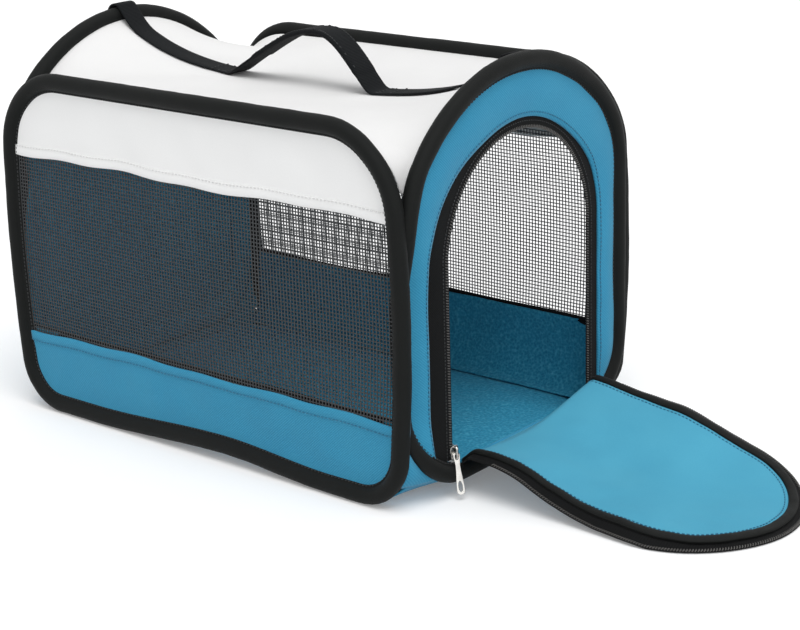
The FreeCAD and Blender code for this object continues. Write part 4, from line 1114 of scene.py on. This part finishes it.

# %% [markdown]
# ## The door
# The door is a soft flap that lies open on the ground. It rises over the sleeve where it is sewn
# on, dips, and settles on the floor at its tip. All its layers use one function: a place across
# the door, a distance from the hinge and a height above the cloth give a point in space. The
# flap's folds are in that function, so the binding, tape and coil follow the cloth.

# %% How the door lies
DROOP = math.radians(5.251)
DOOR_UP = np.array((0, -math.sin(DROOP), math.cos(DROOP)))
BINDING_INSET, BINDING_WIDE, BINDING_TALL = 0.0106, 0.0036, 0.0019


def door_places(across, reach, layer=0.0):
    """Points on the open door."""
    side = across / CHAIN_HALF
    root_lift = 0.0050 * ease(reach, 0.14, 0.05)
    right_lift = 0.0200 * ease(side, -0.1, 1.0) * (1 - 0.97 * ease(reach, 0.09, 0.238))
    left_lift = 0.0080 * ease(-side, 0.2, 1.0) * ease(reach, 0.12, 0.02)
    waves = 0.0011 * np.sin(reach * 62 + side * 1.8) * ease(reach, 0.22, 0.12)
    spots = np.stack([across, reach, np.zeros_like(reach)], -1)
    folds = 0.0013 * uneven(spots, 0.036, 31) + 0.0004 * uneven(spots, 0.014, 35)
    sag = 0.0030 * ease(reach, 0.03, 0.10) * ease(reach, 0.235, 0.15) * (1 - side ** 2)
    near_hinge = ease(reach, 0.0, 0.014)
    height = layer + near_hinge * (root_lift + right_lift + left_lift + waves + folds) - sag
    y = -END_PLANE - reach * math.cos(DROOP) - height * math.sin(DROOP)
    z = HINGE_LEVEL - reach * math.sin(DROOP) + height * math.cos(DROOP)
    spread = 0.001 * ease(-side, 0.3, 1.0) * ease(reach, 0.05, 0.16)
    return np.stack([across - spread, y, np.maximum(z, 0.0008)], -1)


def door_outline(inset, low, count):
    """The door's arched line, inside the zip by an inset, as places across and from the hinge."""
    line = zip_line(-inset, HINGE_LEVEL + low, count) - (0, HINGE_LEVEL)
    slack = 0.004 * ease(-line[:, 0], -0.05, 0.03) * ease(line[:, 1], 0.10, 0.20)
    away = unit(line - (0.0, 0.12))
    return line + away * (slack * ease(inset, BINDING_INSET, COIL_OFFSET))[:, None]


def on_door(line, layer):
    return door_places(line[:, 0], line[:, 1], layer)


def draw_taut(obj):
    """Gives a piece of the limp flap a mesh of its own.
    """
    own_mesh(obj)


print("door droops by", round(math.degrees(DROOP), 1), "degrees")

# %% Door cloth
DOOR_EDGE, TIP_HALF = 0.0112, 0.0002

half_edge = door_outline(DOOR_EDGE, 0.0, 220)[:110]
half_edge[-1, 0] = TIP_HALF
across = half_edge[:, :1] * np.linspace(1, -1, 71)
reach = np.broadcast_to(half_edge[:, 1:], across.shape)
flap = lattice(door_places(across, reach), cloth_map=np.stack([across, reach], -1))
door_sheet = sew("door_flap", [flap], [blue_lining, blue_twill], "blue_fabric", "door_panel",
                 body="door", thickness=0.0010)
draw_taut(door_sheet)
print("door flap", round(DOOR_REACH * 1000), "mm long")

# %% [markdown]
# A black binding is folded over the door's edge, and the door's half of the zip hangs outside it.
# The binding is a narrow strip with a low crown, thickened and rounded. The tape drops a little
# from it, as tape does under the weight of its coil.

# %% Binding, tape and coil of the door
CHAIN_START = 0.0337  # where the door's coil starts, from the hinge
COIL_LIFT, COIL_REST = 0.0004, 0.0016  # off the tape, and off the ground
BINDING_LIFT = 0.0004
CROWN = ((-1, -0.0005), (-0.5, 0.0002), (0, 0.0005), (0.5, 0.0002), (1, -0.0005))


def tape_drop(line, inset):
    """How far the tape hangs below the flap at an inset from the zip's line, most on the left."""
    hang = 0.0025 + 0.0045 * ease(-line[:, 0], -0.02, 0.07) * ease(line[:, 1], 0.02, 0.09)
    return -hang * ease(inset, BINDING_INSET, COIL_OFFSET)


binding = []
for share, rise in CROWN:
    line = door_outline(BINDING_INSET + share * BINDING_WIDE, 0.002, 260)
    binding.append(on_door(line, BINDING_LIFT + rise))
binding = np.array(binding)
binding[..., 2] = np.maximum(binding[..., 2] + 0.0003 * uneven(binding, 0.008, 41),
                             BINDING_TALL + GROUND_GAP)
bound_edge = sew("door_bound_edge", [lattice(binding)], [black_cloth], "black_tape", "door_binding",
                 body="door", thickness=2 * BINDING_TALL)
rounding = bound_edge.modifiers.new("rounding", "SUBSURF")
rounding.levels = rounding.render_levels = 1
draw_taut(bound_edge)
tape_rows = []
for inset in np.linspace(TAPE_OFFSET - 0.0026, BINDING_INSET, 9):
    line = door_outline(inset, 0.006, 260)
    tape_rows.append(on_door(line, tape_drop(line, inset)))
tape = sew("door_tape", [lattice(np.array(tape_rows))], [black_tape], "zip_tape", "door_zip_tape",
           body="door", thickness=0.0008)
draw_taut(tape)
line = door_outline(COIL_OFFSET, CHAIN_START, 500)
chain = on_door(line, tape_drop(line, COIL_OFFSET) + COIL_LIFT)
chain[:, 2] = np.maximum(chain[:, 2], COIL_REST)
door_coil = sew("door_coil", [coil(chain, DOOR_UP)], [nylon], "zip_nylon", "door_zip_coil",
                body="door")
draw_taut(door_coil)
print("binding, tape and coil of the door")

# %% Hem and stitches of the door
HEM_RADIUS, HEM_HALF = 0.0015, CHAIN_HALF - 0.004

hem_line = np.linspace((-HEM_HALF, -END_PLANE, HINGE_LEVEL),
                       (HEM_HALF, -END_PLANE, HINGE_LEVEL), 80)
hem_line[:, 2] += 0.0002 * np.sin(hem_line[:, 0] * 150)
sew("door_rolled_hem", [capped(round_thread(hem_line, HEM_RADIUS, (0, 0, 1.0), 10))], [blue_twill],
    "blue_fabric", "door_hem", body="door", closed=True)
row_inside = on_door(door_outline(BINDING_INSET + 0.0062, 0.012, 300), 0.0008)
row_bound = on_door(door_outline(BINDING_INSET + 0.0016, 0.006, 300),
                    BINDING_LIFT + BINDING_TALL * 0.87)
for name, row, thread, slot in (("door_blue_stitches", row_inside, blue_thread, "blue_fabric"),
                                ("door_black_stitches", row_bound, dark_thread, "black_tape")):
    draw_taut(sew(name, [stitch_row(row, DOOR_UP)], [thread], slot, body="door"))
print("hem and two rows of stitches")

# %% [markdown]
# ## Slider and pull
# The slider is a small plated casting: two shield-shaped plates with a post between them and a
# bridge on top. The pull is a flat tag with an oval hole, hooked under the bridge. Plates are
# drawn as outlines, filled, then thickened and bevelled, because the worn round edges are what
# make small metal parts look real.

# %% Slider
SLIDER = np.array((-CHAIN_HALF, -END_PLANE + TAPE_LAYER, 0.03304))
PLATE_THICK, PLATE_STEP, POST_THICK, SLIDER_BEVEL = 0.0009, 0.0019, 0.0036, 0.0003
BRIDGE_RADIUS, BRIDGE_FLATTEN = 0.00075, 1.5


def rounded_plate(name, loops, thickness, bevel, place, body, *nodes):
    """A nickel plate from outlines across and up. The first is its rim, the others are holes."""
    plate = bmesh.new()
    edges = []
    for loop in loops:
        ring = [plate.verts.new((across, 0, height)) for across, height in loop]
        edges += [plate.edges.new(pair) for pair in zip(ring, ring[1:] + ring[:1])]
    bmesh.ops.triangle_fill(plate, edges=edges, use_beauty=True)
    bmesh.ops.recalc_face_normals(plate, faces=plate.faces)
    mesh = bpy.data.meshes.new(name)
    plate.to_mesh(mesh)
    plate.free()
    mesh.transform(place)
    mesh.materials.append(nickel)
    obj = add_object(name, mesh)
    thicken(obj, thickness)
    rounding = obj.modifiers.new("rounding", "BEVEL")
    rounding.width, rounding.segments, rounding.limit_method = bevel, 3, "ANGLE"
    hand_over(obj, body, nodes)


def mirrored(half):
    """A closed outline from its right half, listed from bottom to top."""
    return half + [(-across, height) for across, height in reversed(half) if across > 0]


shield = mirrored([(0.0, -0.0056), (0.0026, -0.0054), (0.0033, -0.0046), (0.0035, -0.0010),
                   (0.0046, 0.0020), (0.0048, 0.0038), (0.0038, 0.0052), (0.0016, 0.0058),
                   (0.0, 0.0059)])
for name, step, nodes in (("slider_front_plate", -PLATE_STEP, ["zip_slider"]),
                          ("slider_rear_plate", PLATE_STEP, [])):
    rounded_plate(name, [shield], PLATE_THICK, SLIDER_BEVEL,
                  Matrix.Translation(SLIDER + (0, step, 0)), "slider", *nodes)
post = mirrored([(0.0, 0.0022), (0.0011, 0.0024), (0.0014, 0.0036), (0.0010, 0.0050),
                 (0.0, 0.0053)])
rounded_plate("slider_post", [post], POST_THICK, SLIDER_BEVEL, Matrix.Translation(SLIDER), "slider")
bridge_line = even([(0, -0.0018, 0.0050), (0, -0.0042, 0.0048), (0, -0.0051, 0.0036),
                    (0, -0.0052, 0.0), (0, -0.0051, -0.0034), (0, -0.0042, -0.0046),
                    (0, -0.0018, -0.0048)], 40)
bridge = round_thread(bridge_line, BRIDGE_RADIUS, (1.0, 0, 0), 10) * (BRIDGE_FLATTEN, 1, 1) + SLIDER
sew("slider_bridge", [capped(bridge)], [nickel], "zip_metal", body="slider", closed=True)
print("slider of two plates, a post and a bridge")

# %% Pull
PULL_AXIS = (-CHAIN_HALF, -0.21585, 0.03154)
PULL_TURNS = ((-20.4, "X"), (14.0, "Y"), (-24.0, "Z"))  # in degrees
PULL_THICK, PULL_BEVEL = 0.0013, 0.0004


def oval(height, half_across, half_height, count, power):
    """A rounded hole. The power is 2 for an ellipse and more for a squarer shape."""
    places = []
    for index in range(count):
        turn = 2 * math.pi * index / count
        c, s = math.cos(turn), math.sin(turn)
        places.append((half_across * math.copysign(abs(c) ** (2 / power), c),
                       height + half_height * math.copysign(abs(s) ** (2 / power), s)))
    return places


tag = mirrored([(0.0, -0.0300), (0.0014, -0.0298), (0.0025, -0.0291), (0.0032, -0.0278),
                (0.0034, -0.0262), (0.0033, -0.0230), (0.0028, -0.0180), (0.0022, -0.0120),
                (0.0020, -0.0080), (0.0023, -0.0050), (0.0027, -0.0020), (0.0026, 0.0006),
                (0.0018, 0.0017), (0.0, 0.0020)])
eye = oval(-0.0016, 0.0014, 0.0019, 20, 3.0)
hole = oval(-0.0235, 0.0016, 0.0040, 28, 2.0)
hang = Matrix.Translation(PULL_AXIS)
for angle, axis in PULL_TURNS:
    hang = hang @ Matrix.Rotation(math.radians(angle), 4, axis)
rounded_plate("pull_tag", [tag, eye, hole], PULL_THICK, PULL_BEVEL, hang, "pull", "zip_pull")
print("pull in nickel")

# %% [markdown]
# ## The handle
# One length of webbing loops round the rear hoop, runs along the roof, rises to a grip and goes
# on to the front hoop. The grip tips from side to side on its two feet, so the webbing is split
# under the grip's crest into two halves.
# Webbing is flat and stiff, so its section is carried along a smooth line instead of being
# simulated.

# %% The strap's route
ROOF_GAP, WRAP_RADIUS = 0.0016, 0.0092
ROOF_STATIONS = (0.094, 0.112, 0.138, 0.160, 0.178, 0.193)  # where the strap lies on the roof


def over_roof(along):
    """A place of the strap on the ridge of the roof."""
    sag = (abs(along) / ROOF_REACH) ** ROOF_SAG_POWER
    return along, ROOF_MIDDLE + (END_TOP + ROOF_LIFT - ROOF_MIDDLE) * sag + ROOF_GAP


def rounded_line(points, rounds=3):
    """Cuts the corners of a line again and again until it is smooth."""
    line = np.asarray(points, float)
    for _ in range(rounds):
        first = line[:-1] * 0.75 + line[1:] * 0.25
        second = line[:-1] * 0.25 + line[1:] * 0.75
        inside = np.stack([first, second], 1).reshape(-1, 2)
        line = np.vstack([line[:1], inside, line[-1:]])
    return line


wrap = arc(END_PLANE, END_TOP, WRAP_RADIUS, -25, 118, 14)
crest = (-0.018, 0.3217)
rear_route = rounded_line([*wrap, *(over_roof(along) for along in reversed(ROOF_STATIONS)),
                           (0.083, 0.2782), (0.0785, 0.2780), (0.0735, 0.2802), (0.060, 0.2888),
                           (0.030, 0.3063), (0.010, 0.3163), (-0.006, 0.3206), crest])
front_route = rounded_line([crest, (-0.028, 0.3208), (-0.040, 0.3145), (-0.053, 0.3020),
                            (-0.066, 0.2870), (-0.0725, 0.2798), (-0.0770, 0.2780),
                            (-0.082, 0.2780), *(over_roof(-along) for along in ROOF_STATIONS),
                            (-0.2045, 0.3205)])
print("strap", round(length_of(rear_route) + length_of(front_route), 3), "m long")

# %% Strap meshes
STRAP_HALF_WIDTH, STRAP_THICKNESS, GRIP_THICKNESS = 0.012, 0.0018, 0.0036
STRAP_SECTION = ((-1.0, 0.0), (-0.985, 0.75), (-0.93, 1.0), (-0.5, 1.06), (0.0, 1.1), (0.5, 1.06),
                 (0.93, 1.0), (0.985, 0.75), (1.0, 0.0), (0.985, -0.75), (0.93, -1.0), (0.5, -1.0),
                 (0.0, -1.0), (-0.5, -1.0), (-0.93, -1.0), (-0.985, -0.75))
STRAP_NODES = {"rear": ("rear_handle_strap", "handle_grip"), "front": ("front_handle_strap",)}
FEET = {"rear": (0, 0.078, 0.2794), "front": (0, -0.076, 0.2793)}


def strap_rows(route):
    """Rows of points round a flat strap, thicker where it is doubled at the grip."""
    line = even(route, 260)
    tangent = unit(np.gradient(line, axis=0))
    outward = np.column_stack([-tangent[:, 1], tangent[:, 0]])
    outward *= np.sign(outward[len(line) // 2, 1] or 1)
    grip = ease(line[:, 0], -0.064, -0.060) * ease(line[:, 0], 0.052, 0.048)
    half_thick = (STRAP_THICKNESS + (GRIP_THICKNESS - STRAP_THICKNESS) * grip) / 2
    steps = np.linspace(0, 1, len(line)) * length_of(line)
    half_width = STRAP_HALF_WIDTH - 0.0018 * ease(np.abs(line[:, 0]), 0.07, 0.10)
    half_width *= 1 - 0.012 * grip * np.abs(np.sin(steps * math.pi / 0.0040))
    rows = []
    for across, thick in STRAP_SECTION:
        spot = line + outward * (half_thick * thick)[:, None]
        rows.append(np.column_stack([across * half_width, spot]))
    rows = np.stack(rows, 1)
    sway = uneven(np.column_stack([line, np.zeros(len(line))]), 0.05, 3)
    rows[..., 0] += 0.0006 * sway[:, None]
    return rows, line, outward, half_thick


strap_halves = {}
for half, route in (("rear", rear_route), ("front", front_route)):
    rows, *strap_halves[half] = strap_rows(route)
    strap = sew(f"{half}_webbing", [capped(rows)], [webbing], "webbing", *STRAP_NODES[half],
                body=None, closed=True)
    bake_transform(strap)
print("two halves of the strap")

# %% [markdown]
# Rows of stitches hold the doubled webbing of the grip, and a sewn box closes each foot.

# %% Strap stitches
GRIP_SEAM, FOOT_SEAM = 0.0098, 0.0095  # how far from the strap's middle
GRIP_FRONT, GRIP_REAR = -0.058, 0.046
FOOT_STITCH = (0.0020, 0.0030)  # length and pitch
BOX_STEP, BOX_HALF = 0.013, 0.008  # the sewn box lies beyond the foot

grip_rows, foot_rows = [], []
for half, (line, outward, half_thick) in strap_halves.items():
    foot = FEET[half][1]
    raised = (line[:, 0] < GRIP_REAR) & (line[:, 0] > GRIP_FRONT)
    sewn = np.abs(line[:, 0] - (foot + math.copysign(BOX_STEP, foot))) < BOX_HALF
    top = line + outward * (half_thick * 1.08 + 0.0001)[:, None]
    face = np.column_stack([np.zeros(len(line)), outward])
    for way in (-1, 1):
        row = np.column_stack([np.full(len(line), way * GRIP_SEAM), top])
        grip_rows.append(stitch_row(row[raised], face[raised]))
        row[:, 0] = way * FOOT_SEAM
        foot_rows.append(stitch_row(row[sewn], face[sewn], *FOOT_STITCH))
    for index in np.nonzero(sewn)[0][[0, -1]]:
        spot = line[index] + outward[index] * (half_thick[index] * 1.1 + 0.0001)
        row = np.linspace((-FOOT_SEAM, *spot), (FOOT_SEAM, *spot), 12)
        foot_rows.append(stitch_row(row, face[index], *FOOT_STITCH))
sew("grip_stitches", grip_rows, [dark_thread], "webbing", body="handle")
sew("foot_stitches", foot_rows, [dark_thread], "webbing")
print("stitches on the grip and its feet")

# %% [markdown]


# %% Finish
print("all pieces made")
